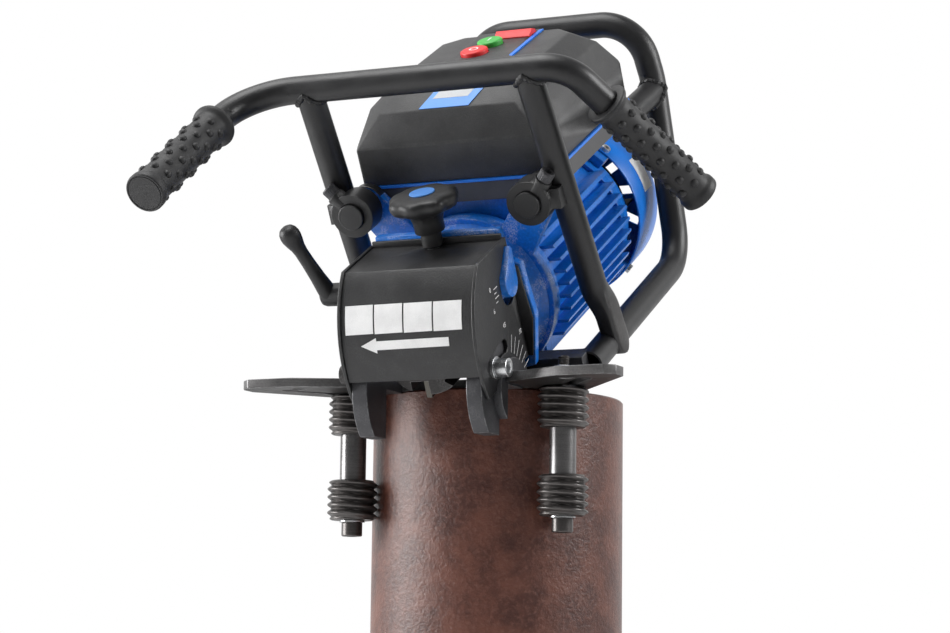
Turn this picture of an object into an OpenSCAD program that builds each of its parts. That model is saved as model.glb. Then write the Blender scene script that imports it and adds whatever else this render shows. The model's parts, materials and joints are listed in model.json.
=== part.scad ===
// Pipe beveling machine: a tilting milling head on a table that rides on a pipe end.
// Frame: X right, Y to the back, Z up, in mm.
// The origin is on the pipe axis, in the plane of the pipe end.
// The head tilts about the pivot; its parts are drawn along x, a (motor axis) and n.

/* [Pipe] */
// outside diameter of the pipe the machine rides on
pipe_od = 219.1; // [200:0.1:240]
// clearance between the shoes and the pipe
pipe_gap = 0.25; // [0.1:0.05:1]

/* [Table] */
// thickness of the table arms and base plate
table_t = 8; // [6:0.5:12]
// half width of the base plate between the arms
base_half = 67; // [66:0.5:72]
// how far the base plate runs past the pipe axis
base_back = 20; // [10:1:40]
// angle of each arm out from the X axis
arm_deg = 50.6; // [45:0.1:56]
// front edge of the arms ahead of the pivot
arm_front = 45; // [42:1:52]
// slope of the inner front edge of an arm
arm_edge_deg = 24; // [22:1:34]
// inner front corner of an arm
arm_corner_x = 122; // [116:1:128]
// outer edge of an arm
arm_outer_x = 172; // [166:1:180]
// outer chamfer of an arm
arm_cham = 8; // [6:1:14]
// back corner of the outer edge ahead of the pivot
arm_side = 21; // [12:1:30]
// inner back corner of an arm
arm_back_x = 93; // [88:1:98]
// slot length past the roller centre
slot_len = 62; // [40:1:66]
// accessory hole in an arm, its X
arm_hole_x = 124; // [118:1:128]
// accessory hole ahead of the pivot
arm_hole_y = 26; // [22:1:30]
// accessory hole radius
arm_hole_r = 6; // [4:0.5:8]

/* [Swivel shoes] */
// inner face of a shoe
shoe_in = 45.5; // [44:0.1:47]
// thickness of a shoe
shoe_t = 14; // [11:0.5:14.4]
// radius of a shoe in front
shoe_r = 52.5; // [49:0.5:53]
// radius of a shoe above the table
shoe_top_r = 48; // [44:0.5:50]
// back of the hanging shoe ahead of the pivot
shoe_lead = 15; // [8:0.5:20]
// flat foot of a shoe below the table
shoe_foot = 44; // [36:0.5:50]
// bearing boss radius
boss_r = 29; // [26:0.5:29.2]
// pivot in front of the shoe back
pivot_lead = 15.1; // [12:0.1:18]
// pivot below the table underside
pivot_drop = 6; // [4:0.5:10]
// clamp screw distance from the pivot
clamp_rad = 39.2; // [38:0.1:42]
// clamp screw angle in the head frame
clamp_deg = 126.6; // [115:0.1:130]

/* [Guide rollers] */
// roller crest radius
roller_r = 21.7; // [18:0.1:24]
// roller root radius
roller_root = 18.2; // [16:0.1:20]
// roller centre, its X
roller_x = 98.4; // [90:0.1:104]
// rib pitch
rib_pitch = 6.8; // [5:0.1:8]
// ribs on each roller
rib_count = 5; // [3:1:6]
// spacer sleeve length
sleeve_len = 39.9; // [30:0.5:50]
// spacer sleeve radius
sleeve_r = 11.25; // [9:0.25:13]
// roller bolt radius
bolt_r = 5; // [4:0.25:6]
// roller bolt end above the table
bolt_top = 26; // [22:0.5:34]

/* [Guard] */
// guard inner half width
guard_half = 60; // [59.8:0.1:64]
// cheek thickness
cheek_t = 3; // [2:0.25:4]
// how far the cheek edge stands proud of the cover
cheek_rim = 1.5; // [0.5:0.25:2.5]
// guard top height
guard_top = 118; // [112:0.5:124]
// guard front curve radius
guard_r = 98.6; // [94:0.2:102]
// guard front curve centre along a
guard_ca = 52; // [50:0.5:56]
// guard front curve centre along n
guard_cn = 42; // [38:0.5:46]
// lower edge of the guard cover
cover_foot = 33; // [32.5:0.5:45]
// sheet thickness
sheet_t = 3; // [2:0.25:4]
// back edge of the guard
guard_back = 51; // [48:0.5:51.5]

/* [Motor] */
// tilt of the motor axis at rest
tilt_deg = 30; // [25:1:35]
// motor axis above the pivot
axis_n = 48; // [46:0.5:50]
// motor frame radius
motor_r = 69; // [64:0.5:72]
// cooling fin tip radius
fin_r = 81; // [76:0.5:82]
// cooling fins each side of the middle
fin_count = 4; // [3:1:5]
// cooling fin step
fin_step = 11.5; // [9:0.5:13]
// cooling fin thickness
fin_t = 3; // [2:0.25:4]
// motor frame front
motor_a0 = 108; // [104:1:112]
// motor frame length
motor_len = 184; // [170:1:200]
// fan cowl outer radius
cowl_r = 82.5; // [80:0.5:86]
// fan cowl back edge radius
cowl_round = 14; // [6:0.5:16]
// fan cowl length
cowl_len = 62; // [50:1:70]
// shaft radius
shaft_r = 12.5; // [10:0.25:14]
// cutter tip radius
cutter_r = 42.5; // [38:0.5:43]
// cutter insert count
insert_count = 6; // [4:1:8]

/* [Switch box] */
// box half width
box_half = 88; // [82:0.5:90]
// box front
box_a0 = 112; // [110:0.5:116]
// box length
box_len = 202; // [190:1:210]
// wall of the box cover
box_wall = 3; // [2:0.25:4]
// box cover crease height
box_crease = 188; // [180:0.5:194]
// box cover shoulder height
box_ring_n = 215; // [206:0.5:220]
// box cover top height
box_top = 231; // [222:0.5:240]

/* [Handle frame] */
// frame tube radius
tube_r = 12; // [10:0.25:13]
// frame tube wall
tube_wall = 2; // [1.5:0.25:3]
// side rail X
rail_x = 106; // [104:0.5:110]
// handlebar along a
bar_a = 75; // [70:0.5:80]
// handlebar height
bar_n = 255.5; // [250:0.5:262]
// rear hoop height
hoop_n = 204; // [196:0.5:212]
// grip length
grip_len = 125; // [110:1:135]
// grip body radius
grip_r = 15.3; // [14:0.1:17]

/* [Depth knob] */
// knob axis along a
knob_a = 42; // [38:0.5:44]
// knob lobe radius
knob_r = 28; // [24:0.5:32]
// knob lobes
knob_lobes = 8; // [6:1:10]

/* [Hidden] */
$fn = 64;
hex = 6;
// how far a cutter passes the face it cuts, and the size of a half space
cut = 1;
big = 400;
// laps and slips of tube runs over their bends
lap = 0.8;
slip = 0.05;
weld_gap = 0.6;
// clearances: sliding, turning, seated
run_gap = 0.3;
turn_gap = 0.05;
seat_gap = 0.02;
black = [0.09, 0.09, 0.10];
dark = [0.16, 0.16, 0.17];
blue = [0.05, 0.30, 0.72];
pale_blue = [0.20, 0.50, 0.90];
steel = [0.62, 0.63, 0.65];
grey = [0.45, 0.46, 0.48];
red = [0.80, 0.08, 0.08];
green = [0.08, 0.55, 0.20];
gold = [0.75, 0.62, 0.25];
// table and shoes
pipe_r = pipe_od / 2;
shoe_out = shoe_in + shoe_t;
shoe_back = -sqrt(pipe_r * pipe_r - shoe_in * shoe_in) - pipe_gap;
pivot_y = shoe_back - pivot_lead;
pivot_z = -pivot_drop;
shoe_relief = 2;
clamp_a = clamp_rad * cos(clamp_deg);
clamp_n = clamp_rad * sin(clamp_deg);
clamp_sweep = 46;
clamp_slot = bolt_r * 2 + run_gap * 4;
hex_r = 4.6;
hex_depth = 6;
bevel_head_r = 8;
bevel_head_h = 10.8;
bevel_washer_r = 9.8;
bevel_washer_t = 3.2;
// rollers
roller_y = -sqrt(pow(pipe_r + roller_r, 2) - roller_x * roller_x);
roller_z0 = -0.5;
rib_h = rib_pitch * rib_count;
rib_r = rib_pitch * 0.21;
sleeve_z0 = roller_z0 - rib_h;
lower_z0 = sleeve_z0 - sleeve_len;
stack_z = lower_z0 - rib_h;
washer_r = 11;
washer_t = 1.6;
foot_gap = 0.3;
bolt_head_r = 9;
bolt_head_h = 12;
nut_r = bolt_r * 1.85;
nut_h = bolt_r * 1.6;
// guard
guard_out = guard_half + cheek_t;
cheek_foot = 12;
cover_tail = 30;
cover_lip = 20;
upstand = 5;
leaf_r = 13;
leaf_a = 35;
leaf_n = 85;
leaf_side = [24, 92];
leaf_tip = [46, 113];
leaf_heel = [48, 110];
leaf_gap = 0.6;
leaf_proud = 5;
lip_t = 2;
lip_rim = 1.4;
depth_travel = 6.5;
// depth setting and lever
spindle_r = 6;
spindle_n0 = 96;
spindle_n1 = 148;
hub_r = 9;
hub_h = 13;
stem_r = 13;
stem_h = 18;
knob_h = 16;
lobe_r = 7;
lobe_out = 4;
knob_n0 = guard_top + cut + hub_h;
cap_r = 11;
cap_t = 1.2;
lever_a = 15;
lever_n = 90;
lever_hub_r = 10;
lever_hub = 21;
lever_stud_out = 18;
lever_r = 6;
lever_ball_r = 8;
lever_root = [-guard_out - 13, lever_a, lever_n];
lever_tip = [-guard_out - 35, lever_a - 38, lever_n + 64];
// castings
housing_a0 = guard_back + cut;
flange_t = 8;
flange_low = -2;
flange_pts = [[58, guard_top + 8], [60, 100], [71, 94], [72, 78], [75, axis_n - 1], [66, 2], [48, flange_low]];
neck_r = 70;
neck_groove_r = 25;
neck_groove_x = 86;
bracket_t = 10;
neck_a1 = motor_a0 - bracket_t;
lug_in = 50;
lug_out = guard_half - 0.6;
lug_a0 = 22;
leaf_lug_n = 72;
leaf_lug_h = 36;
lever_lug_h = 24;
spindle_lug = 13;
spindle_lug_n = 97;
spindle_lug_h = 14;
quill_r = 20;
seat_r = 26;
bearing_a = housing_a0 + 28;
bearing_w = 16;
shield_t = 12;
motor_a1 = motor_a0 + motor_len;
shield_a1 = motor_a1 + shield_t;
cowl_a0 = shield_a1 + 3;
cowl_a1 = cowl_a0 + cowl_len;
cowl_wall = 2;
motor_wall = 7;
motor_rim = 4;
motor_rim_w = 8;
fin_inset = 14;
fin_tail = 6;
fin_band = 30;
pad_half = 45;
pad_inset = 16;
pad_n = axis_n + 40;
shield_lug = 14;
shield_lug_len = 22;
vent_count = 12;
vent_w = 8;
vent_r = 22;
vent_len = 42;
cowl_screw_r = 4.5;
cowl_screw_h = 3;
cowl_screw_a = cowl_a0 + 6;
bracket_r = 74;
bracket_eye_r = 16;
bracket_bore = 30;
web_in = [30, axis_n + 52];
web_out = [60, axis_n + 32];
web_half = 11;
core_a0 = 140;
core_a1 = 240;
rotor_r = 40;
air_gap = 0.5;
// switch box
box_a1 = box_a0 + box_len;
box_n0 = axis_n + cowl_r + 1;
base_inset = 3;
gasket_t = 2.5;
gasket_lip = 2;
box_floor = 4;
ring_w = 8;
trim_n = box_n0 + 18.5;
cover_n = trim_n + gasket_t;
skin = 2;
crease_lip = 3;
crease_in = 1;
ring_in = 8;
ring_front = 10;
ring_cham = 16;
roof_in = 26;
roof_front = 36;
roof_cham = 16;
switch_x0 = -31;
switch_x1 = 32;
switch_a0 = box_a0 + 94;
switch_a1 = box_a0 + 176;
switch_rim = 3.5;
switch_h = 4;
plate_proud = 1.5;
plate_deep = 8;
well_deep = 6;
stop_at = [-10.5, switch_a0 + 18.5];
stop_r = 12.5;
start_at = [-5, switch_a0 + 43.5];
start_r = 11.5;
button_sink = 2;
stop_h = 11;
start_h = 9;
flap_x0 = -7;
flap_x1 = 27.5;
flap_a0 = switch_a0 + 58;
flap_a1 = switch_a0 + 75;
flap_front_h = 4;
flap_peak_h = 11;
flap_peak = 8;
flap_pin_r = 2;
// handle frame
tube_in = tube_r - tube_wall;
bar_left_x = -162;
bar_right_x = 137.4;
left_end = [-170.6, -102, 233];
right_end = [203, 144, 117];
bar_pts = [left_end, [bar_left_x, bar_a, bar_n], [bar_right_x, bar_a, bar_n], right_end];
bar_bends = [0, 50, 34, 0];
rail_n = -8;
rail_a0 = 72;
rail_a1 = 322;
rail_top = [rail_x - 15.5, 381, 150];
hoop_end = [rail_x - 24, 388, hoop_n];
hoop_start = rail_top + (hoop_end - rail_top) * 0.2;
rail_pts = [[rail_x, rail_a0, rail_n], [rail_x, rail_a1, rail_n], rail_top, hoop_start];
rail_bends = [0, 45, 60, 0];
hoop_pts = [hoop_start, hoop_end, flip(hoop_end), flip(hoop_start)];
hoop_bends = [0, 42, 42, 0];
stub_back = rail_pts[1] + (rail_top - rail_pts[1]) * 0.937;
stub_front = [box_half - 4, box_a1 - base_inset, 136];
strut_top = [101.5, bar_a, bar_n];
strut_low = [rail_x, 127, rail_n];
pin_x = 82.5;
pin_n = 141.5;
pin_r = 11.5;
pin_tail_r = 8;
pin_a0 = 62;
clamp_r = 19.5;
clamp_a0 = 66;
clamp_a1 = 88;
jaw_a0 = 74;
jaw_a1 = 96;
jaw_in = 6;
jaw_out = 26;
jaw_half = 9;
screw_deg = 40;
screw_a = 73;
screw_boss_r = 8;
screw_boss_h = 24;
screw_r = 3;
screw_len = 9;
screw_head_r = 6.5;
screw_head_h = 9;
grip_collar_r = 19.3;
grip_collar_t = 5;
grip_end_r = 17.4;
grip_end_len = 10;
grip_cap_t = 6;
rail_lug_x = 44;
rail_lug_len = 20;
rail_lug_h = 12;
// spinning set
cutter_a0 = -22;
cutter_a1 = 10;
arbor_r = 11;
arbor_nose = 6;
collar_r = 19;
collar_t = 8;
fan_a0 = shield_a1 + 12;
fan_hub_r = 20;
fan_hub_len = 22;
fan_r = 66;
fan_disc_t = 3;
fan_blades = 8;
blade_t = 2;
blade_root = 16;
body_step = 4;
pocket = 16;
pocket_tail = 6;
insert_w = 5;
insert_len = 14;
insert_h = 15.5;
insert_a0 = cutter_a0 + 2;

function flip(p) = [-p[0], p[1], p[2]];
function unit(v) = v / norm(v);
function perp(v) = abs(v[2]) < 0.9 ? unit(cross([0, 0, 1], v)) : unit(cross([1, 0, 0], v));
function turn(u, v) = acos(max(-1, min(1, u * v)));

// the tilting frame: local x, a, n
module head() translate([0, pivot_y, pivot_z]) rotate([tilt_deg, 0, 0]) children();
module on_axis() head() translate([0, 0, axis_n]) children();
module both() { children(); mirror([1, 0, 0]) children(); }
// slab along x of a flat shape in (y, z) or (a, n)
module x_slab(x0, x1) translate([x0, 0, 0]) rotate([90, 0, 90]) linear_extrude(x1 - x0) children();
// slab along a of a flat shape in (x, n)
module a_slab(a0, a1) translate([0, a1, 0]) rotate([90, 0, 0]) linear_extrude(a1 - a0) children();
module a_cyl(r, a0, a1) translate([0, a0, 0]) rotate([-90, 0, 0]) cylinder(r = r, h = a1 - a0);
module x_cyl(r, x0, x1) translate([x0, 0, 0]) rotate([0, 90, 0]) cylinder(r = r, h = x1 - x0);
module a_rev() rotate([-90, 0, 0]) rotate_extrude() children();
// half planes
module right_of(x) translate([x, -big]) square([big, big * 2]);
module above(y) translate([-big, y]) square([big * 2, big]);
module below(y) translate([-big, y - big]) square([big * 2, big]);
// a block between two corners
module block(p, q) translate(p) cube(q - p);
module frame_at(p, e1, e2)
  multmatrix([[e1[0], e2[0], cross(e1, e2)[0], p[0]], [e1[1], e2[1], cross(e1, e2)[1], p[1]],
    [e1[2], e2[2], cross(e1, e2)[2], p[2]], [0, 0, 0, 1]]) children();
module ring(r, ri) difference() { circle(r); if (ri > 0) circle(ri); }
module rod(p, q, r, ri = 0) {
  d = unit(q - p);
  e = perp(d);
  frame_at(p, e, cross(d, e)) linear_extrude(norm(q - p)) ring(r, ri);
}
// straight runs joined by round bends; each run laps a hair over the bend
module bent(pts, bends, r, ri) {
  n = len(pts);
  for (i = [0 : n - 2]) {
    d = unit(pts[i + 1] - pts[i]);
    t0 = i == 0 ? 0 : bends[i] * tan(turn(unit(pts[i] - pts[i - 1]), d) / 2) - lap;
    t1 = i == n - 2 ? 0 : bends[i + 1] * tan(turn(d, unit(pts[i + 2] - pts[i + 1])) / 2) - lap;
    rod(pts[i] + d * t0, pts[i + 1] - d * t1, r, ri);
  }
  for (i = [1 : n - 2]) {
    u = unit(pts[i] - pts[i - 1]);
    v = unit(pts[i + 1] - pts[i]);
    th = turn(u, v);
    c = pts[i] + unit(v - u) * (bends[i] / cos(th / 2));
    e1 = unit(pts[i] - u * (bends[i] * tan(th / 2)) - c);
    frame_at(c, e1, u) rotate_extrude(angle = th) translate([bends[i], 0]) ring(r - slip, ri + slip);
  }
}

// table
module base_plate() color(dark)
  block([-base_half, shoe_back, 0], [base_half, base_back, table_t]);
module arm_shape() {
  front = pivot_y - arm_front;
  side = pivot_y - arm_side;
  tail = side + (arm_outer_x - arm_back_x) * tan(arm_deg);
  polygon([[base_half, front + (arm_corner_x - base_half) * tan(arm_edge_deg)],
    [arm_corner_x, front], [arm_outer_x - arm_cham, front], [arm_outer_x, front + arm_cham],
    [arm_outer_x, side], [arm_back_x, tail], [base_half, tail]]);
}
module arm() color(dark) difference() {
  slot_r = bolt_r + run_gap;
  slot_half = slot_r - slip * 2;
  linear_extrude(table_t) arm_shape();
  translate([roller_x, roller_y, -cut]) rotate([0, 0, -arm_deg]) {
    cylinder(r = slot_r, h = table_t + cut * 2);
    translate([slot_len, 0, 0]) cylinder(r = slot_r, h = table_t + cut * 2);
    translate([0, -slot_half, 0]) cube([slot_len, slot_half * 2, table_t + cut * 2]);
  }
  translate([arm_hole_x, pivot_y - arm_hole_y, -cut]) cylinder(r = arm_hole_r, h = table_t + cut * 2);
}
module right_arm() arm();
module left_arm() mirror([1, 0, 0]) arm();
// clears the base plate, and below it the pipe
module table_cut() {
  translate([shoe_back, -big]) square([big, big + table_t]);
  translate([pivot_y - shoe_lead, -big]) square([big, big - shoe_relief]);
}
module shoe_profile() difference() {
  translate([pivot_y, pivot_z]) union() {
    circle(shoe_top_r);
    difference() { circle(shoe_r); above(table_t + pivot_drop + shoe_relief); right_of(0); }
  }
  below(-shoe_foot);
  table_cut();
}
module boss_profile() difference() {
  translate([pivot_y, pivot_z]) circle(boss_r);
  table_cut();
}
module at_bevel_screw() head() translate([0, clamp_a, clamp_n]) children();
module shoe() color(grey) difference() {
  union() {
    x_slab(shoe_in, shoe_out) shoe_profile();
    x_slab(shoe_out, base_half) boss_profile();
  }
  at_bevel_screw() x_cyl(bolt_r + seat_gap, shoe_in - cut, shoe_out + cut);
}
module right_shoe() shoe();
module left_shoe() mirror([1, 0, 0]) shoe();
module bevel_screws() color(steel) both() at_bevel_screw() difference() {
  seat = guard_out + bevel_washer_t;
  union() {
    x_cyl(bolt_r, shoe_in + cut, seat + cut);
    x_cyl(bevel_head_r, seat, seat + bevel_head_h);
  }
  translate([seat + bevel_head_h - hex_depth, 0, 0]) rotate([0, 90, 0])
    cylinder(r = hex_r, h = hex_depth + cut, $fn = hex);
}
module bevel_washers() color(steel) both() at_bevel_screw() difference() {
  x_cyl(bevel_washer_r, guard_out + slip * 4, guard_out + bevel_washer_t);
  x_cyl(bolt_r + run_gap, guard_out - cut, guard_out + bevel_washer_t + cut);
}

// guide rollers
module at_roller() translate([roller_x, roller_y, 0]) children();
module rib_roller(z) color(grey) translate([0, 0, z]) rotate_extrude() difference() {
  union() {
    translate([0, -rib_h]) square([roller_root, rib_h]);
    for (i = [0 : rib_count - 1]) translate([0, -rib_pitch * (i + 0.5)]) {
      translate([0, -rib_r]) square([roller_r - rib_r, rib_r * 2]);
      translate([roller_r - rib_r, 0]) circle(rib_r);
    }
  }
  translate([-cut, -rib_h - cut]) square([bolt_r + turn_gap + cut, rib_h + cut * 2]);
}
module flat_ring(r, h, gap) difference() {
  cylinder(r = r, h = h);
  translate([0, 0, -cut]) cylinder(r = bolt_r + gap, h = h + cut * 2);
}
module sleeve() color(steel) translate([0, 0, sleeve_z0 - sleeve_len])
  flat_ring(sleeve_r, sleeve_len, turn_gap);
module roller_bolt() color(dark) difference() {
  seat = stack_z - foot_gap - washer_t;
  union() {
    translate([0, 0, seat - cut]) cylinder(r = bolt_r, h = bolt_top - seat + cut);
    translate([0, 0, seat - bolt_head_h]) cylinder(r = bolt_head_r, h = bolt_head_h);
  }
  translate([0, 0, seat - bolt_head_h - cut]) cylinder(r = hex_r, h = hex_depth + cut, $fn = hex);
}
module nut() difference() {
  cylinder(r = nut_r, h = nut_h, $fn = hex);
  translate([0, 0, -cut]) cylinder(r = bolt_r + seat_gap, h = nut_h + cut * 2);
}
module right_roller_bolt() at_roller() roller_bolt();
module left_roller_bolt() mirror([1, 0, 0]) at_roller() roller_bolt();
module roller_nuts() color(steel) both() at_roller() translate([0, 0, table_t + washer_t]) nut();
module roller_washers() color(steel) both() at_roller()
  for (z = [table_t, stack_z - foot_gap - washer_t])
    translate([0, 0, z]) flat_ring(washer_r, washer_t, seat_gap);
module right_upper_roller() at_roller() rib_roller(roller_z0);
module right_sleeve() at_roller() sleeve();
module right_lower_roller() at_roller() rib_roller(lower_z0);
module left_upper_roller() mirror([1, 0, 0]) at_roller() rib_roller(roller_z0);
module left_sleeve() mirror([1, 0, 0]) at_roller() sleeve();
module left_lower_roller() mirror([1, 0, 0]) at_roller() rib_roller(lower_z0);

// guard, in the tilting frame
module front_curve(r) translate([guard_ca, guard_cn]) circle(r);
module at_knob(n) translate([0, knob_a, n]) children();
module cover_profile() {
  difference() {
    front_curve(guard_r);
    front_curve(guard_r - sheet_t);
    right_of(cover_tail);
    below(cover_foot);
    above(guard_top);
  }
  difference() {
    translate([-cover_lip, guard_top - sheet_t]) square([guard_back + cover_lip, sheet_t]);
    difference() { translate([-big, 0]) square([big + cover_tail, big]); front_curve(guard_r); }
  }
  translate([guard_back - sheet_t, guard_top - sheet_t]) square([sheet_t, sheet_t + upstand]);
}
module guard_cover() color(black) head() difference() {
  x_slab(-guard_half, guard_half) cover_profile();
  at_knob(guard_top - sheet_t * 2) cylinder(r = spindle_r + run_gap, h = sheet_t * 4);
  at_knob(guard_top) cylinder(r = hub_r + weld_gap, h = upstand + cut);
}
module arc_slot(r, w, d0, d1) {
  mid = (d0 + d1) / 2;
  intersection() {
    ring(r + w / 2, r - w / 2);
    polygon(concat([[0, 0]], [for (d = [d0, mid, d1]) [big * cos(d), big * sin(d)]]));
  }
  for (d = [d0, d1]) translate([r * cos(d), r * sin(d)]) circle(w / 2);
}
module cheek_outline() difference() {
  front_curve(guard_r + cheek_rim);
  right_of(guard_back);
  below(cheek_foot);
  above(guard_top + cheek_rim);
  circle(boss_r + turn_gap);
  arc_slot(clamp_rad, clamp_slot, clamp_deg - clamp_sweep, clamp_deg + cut);
}
module leaf(g) {
  translate([leaf_a, leaf_n]) circle(leaf_r + g);
  polygon([leaf_side - [g, 0], leaf_tip + [0, g], leaf_heel + [g, 0], [leaf_heel[0] + g, leaf_n]]);
}
// lip turned out along the milling head flange
module cheek_lip() a_slab(guard_back - lip_t, guard_back) intersection() {
  polygon(concat([[0, guard_top]], [for (p = flange_pts) p - [lip_rim, lip_rim]], [[0, cheek_foot]]));
  right_of(guard_half);
  above(cheek_foot);
  below(flange_pts[1][1]);
}
module right_cheek() color(black) head() {
  x_slab(guard_half, guard_out) difference() {
    cheek_outline();
    for (n = [-depth_travel, 0]) translate([0, n]) leaf(leaf_gap);
    translate([leaf_a - leaf_r, leaf_n - depth_travel]) square([leaf_r * 2, depth_travel]);
  }
  cheek_lip();
}
module left_cheek() color(black) head() {
  slot_r = bolt_r + run_gap;
  x_slab(-guard_out, -guard_half) difference() {
    cheek_outline();
    translate([lever_a - slot_r, lever_n - depth_travel]) square([slot_r * 2, depth_travel]);
    for (n = [lever_n - depth_travel, lever_n]) translate([lever_a, n]) circle(slot_r + slip);
  }
  mirror([1, 0, 0]) cheek_lip();
}

// depth setting
module depth_spindle() color(steel) head() at_knob(spindle_n0)
  cylinder(r = spindle_r, h = spindle_n1 - spindle_n0);
module depth_knob() color(black) head() difference() {
  union() {
    at_knob(guard_top + cut) cylinder(r = hub_r, h = hub_h);
    at_knob(knob_n0) cylinder(r = stem_r, h = stem_h);
    at_knob(knob_n0 + stem_h) difference() {
      cylinder(r = knob_r, h = knob_h);
      for (i = [0 : knob_lobes - 1]) rotate([0, 0, (i + 0.5) * 360 / knob_lobes])
        translate([knob_r + lobe_out, 0, -cut]) cylinder(r = lobe_r, h = knob_h + cut * 2);
    }
  }
  at_knob(guard_top) cylinder(r = spindle_r + seat_gap, h = spindle_n1 - guard_top);
}
module knob_cap() color(pale_blue) head() at_knob(knob_n0 + stem_h + knob_h) cylinder(r = cap_r, h = cap_t);
module at_lever() translate([0, lever_a, lever_n]) children();
module lever_stud() color(steel) head() at_lever() x_cyl(bolt_r, -guard_out - lever_stud_out, -lug_in);
module clamp_lever() color(black) head() difference() {
  union() {
    at_lever() x_cyl(lever_hub_r, -guard_out - cut - lever_hub, -guard_out - cut);
    rod(lever_root, lever_tip, lever_r);
    translate(lever_tip) sphere(r = lever_ball_r);
  }
  at_lever() x_cyl(bolt_r + turn_gap, -guard_out - lever_stud_out - run_gap, -guard_out);
}

// milling head casting
module flange_half() polygon(concat([[0, flange_pts[0][1]]], flange_pts, [[0, flange_low]]));
module spindle_housing() color(blue) head() difference() {
  neck_a0 = housing_a0 + flange_t;
  union() {
    both() a_slab(housing_a0, neck_a0) flange_half();
    translate([0, 0, axis_n]) a_rev() difference() {
      translate([0, neck_a0]) square([neck_r, neck_a1 - neck_a0]);
      translate([neck_groove_x, (neck_a0 + neck_a1) / 2]) circle(neck_groove_r);
    }
    block([lug_in, lug_a0, leaf_lug_n], [lug_out, housing_a0, leaf_lug_n + leaf_lug_h]);
    block([-lug_out, lever_a - lever_hub_r, lever_n - lever_lug_h / 2],
      [-lug_in, housing_a0, lever_n + lever_lug_h / 2]);
    x_slab(lug_out - cut, guard_out + leaf_proud) leaf(0);
    block([-spindle_lug, knob_a - spindle_lug + cut, spindle_lug_n],
      [spindle_lug, housing_a0, spindle_lug_n + spindle_lug_h]);
  }
  translate([0, 0, axis_n]) {
    a_cyl(quill_r, housing_a0 - cut, bearing_a + cut);
    a_cyl(seat_r, bearing_a, motor_a0);
  }
  at_knob(spindle_n0 - cut) cylinder(r = spindle_r + turn_gap, h = guard_top - spindle_n0);
  x_slab(-big, big) polygon([[0, flange_low], [neck_a0, flange_low], [neck_a1, axis_n - neck_r],
    [neck_a1, -big], [0, -big]]);
  at_lever() x_cyl(bolt_r + seat_gap, -lug_out - cut, -lug_in + cut);
}
module bracket_shape() {
  translate([0, axis_n]) circle(bracket_r);
  both() intersection() {
    union() {
      translate([pin_x, pin_n]) circle(bracket_eye_r);
      polygon([web_in, web_out, [pin_x + web_half, pin_n - web_half], [pin_x - web_half, pin_n + web_half]]);
    }
    square([pin_x + pin_tail_r, big]);
  }
}
module frame_bracket() color(black) head() difference() {
  a_slab(neck_a1, motor_a0) bracket_shape();
  translate([0, 0, axis_n]) a_cyl(bracket_bore, 0, big);
  both() translate([pin_x, 0, pin_n]) a_cyl(pin_tail_r + seat_gap, 0, big);
}
// side fins lie flat and the lower ones stand upright, as on a finned motor frame
module fin_shape() intersection() {
  circle(fin_r);
  union() {
    for (i = [-fin_count : fin_count]) translate([-big, i * fin_step - fin_t / 2]) square([big * 2, fin_t]);
    difference() {
      for (i = [-fin_count : fin_count]) translate([i * fin_step - fin_t / 2, -big]) square([fin_t, big]);
      above(-fin_band);
    }
  }
}
module motor_housing() color(blue) head() difference() {
  union() {
    translate([0, 0, axis_n]) {
      a_cyl(motor_r, motor_a0, motor_a1);
      a_cyl(motor_r + motor_rim, motor_a0, motor_a0 + motor_rim_w);
      a_cyl(motor_r + motor_rim, motor_a1 - motor_rim_w, motor_a1);
      a_slab(motor_a0 + fin_inset, motor_a1 - fin_tail) fin_shape();
    }
    block([-pad_half, motor_a0 + pad_inset, pad_n], [pad_half, motor_a1 - pad_inset, box_n0]);
  }
  translate([0, 0, axis_n]) a_cyl(motor_r - motor_wall, motor_a0 - cut, motor_a1 + cut);
}
module stator_core() color(steel) on_axis() difference() {
  a_cyl(motor_r - motor_wall - seat_gap, core_a0, core_a1);
  a_cyl(rotor_r + air_gap, core_a0 - cut, core_a1 + cut);
}
module rear_shield() color(blue) on_axis() difference() {
  union() {
    a_cyl(motor_r + motor_rim - cut, motor_a1, shield_a1);
    for (i = [0 : 3]) rotate([0, 45 + i * 90, 0])
      block([-shield_lug / 2, motor_a1 + motor_rim, motor_r - cowl_wall],
        [shield_lug / 2, motor_a1 + motor_rim + shield_lug_len, cowl_r - cowl_wall - run_gap]);
  }
  a_cyl(seat_r, motor_a1 - cut, shield_a1 + cut);
}
module cowl_shape(r, a1, k) {
  translate([0, cowl_a0]) square([r, a1 - k - cowl_a0]);
  translate([0, cowl_a0]) square([r - k, a1 - cowl_a0]);
  intersection() { translate([r - k, a1 - k]) circle(k); right_of(0); }
}
module fan_cowl() color(blue) on_axis() difference() {
  a_rev() cowl_shape(cowl_r, cowl_a1, cowl_round);
  translate([0, -cut, 0]) a_rev()
    cowl_shape(cowl_r - cowl_wall, cowl_a1 - cowl_wall + cut, cowl_round - cowl_wall);
  for (i = [0 : vent_count - 1]) rotate([0, i * 360 / vent_count, 0])
    block([-vent_w / 2, cowl_a1 - vent_w, vent_r], [vent_w / 2, cowl_a1 + cut, vent_r + vent_len]);
}
module cowl_screws() color(steel) on_axis() for (i = [0 : 3])
  rotate([0, 45 + i * 90, 0]) translate([0, cowl_screw_a, cowl_r]) cylinder(r = cowl_screw_r, h = cowl_screw_h);
module bearing(a0, a1) difference() {
  a_cyl(seat_r - seat_gap, a0, a1);
  a_cyl(shaft_r + turn_gap, a0 - cut, a1 + cut);
}
module shaft_bearings() color(steel) on_axis() {
  bearing(bearing_a + slip, bearing_a + bearing_w);
  bearing(motor_a1, shield_a1);
}

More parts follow.
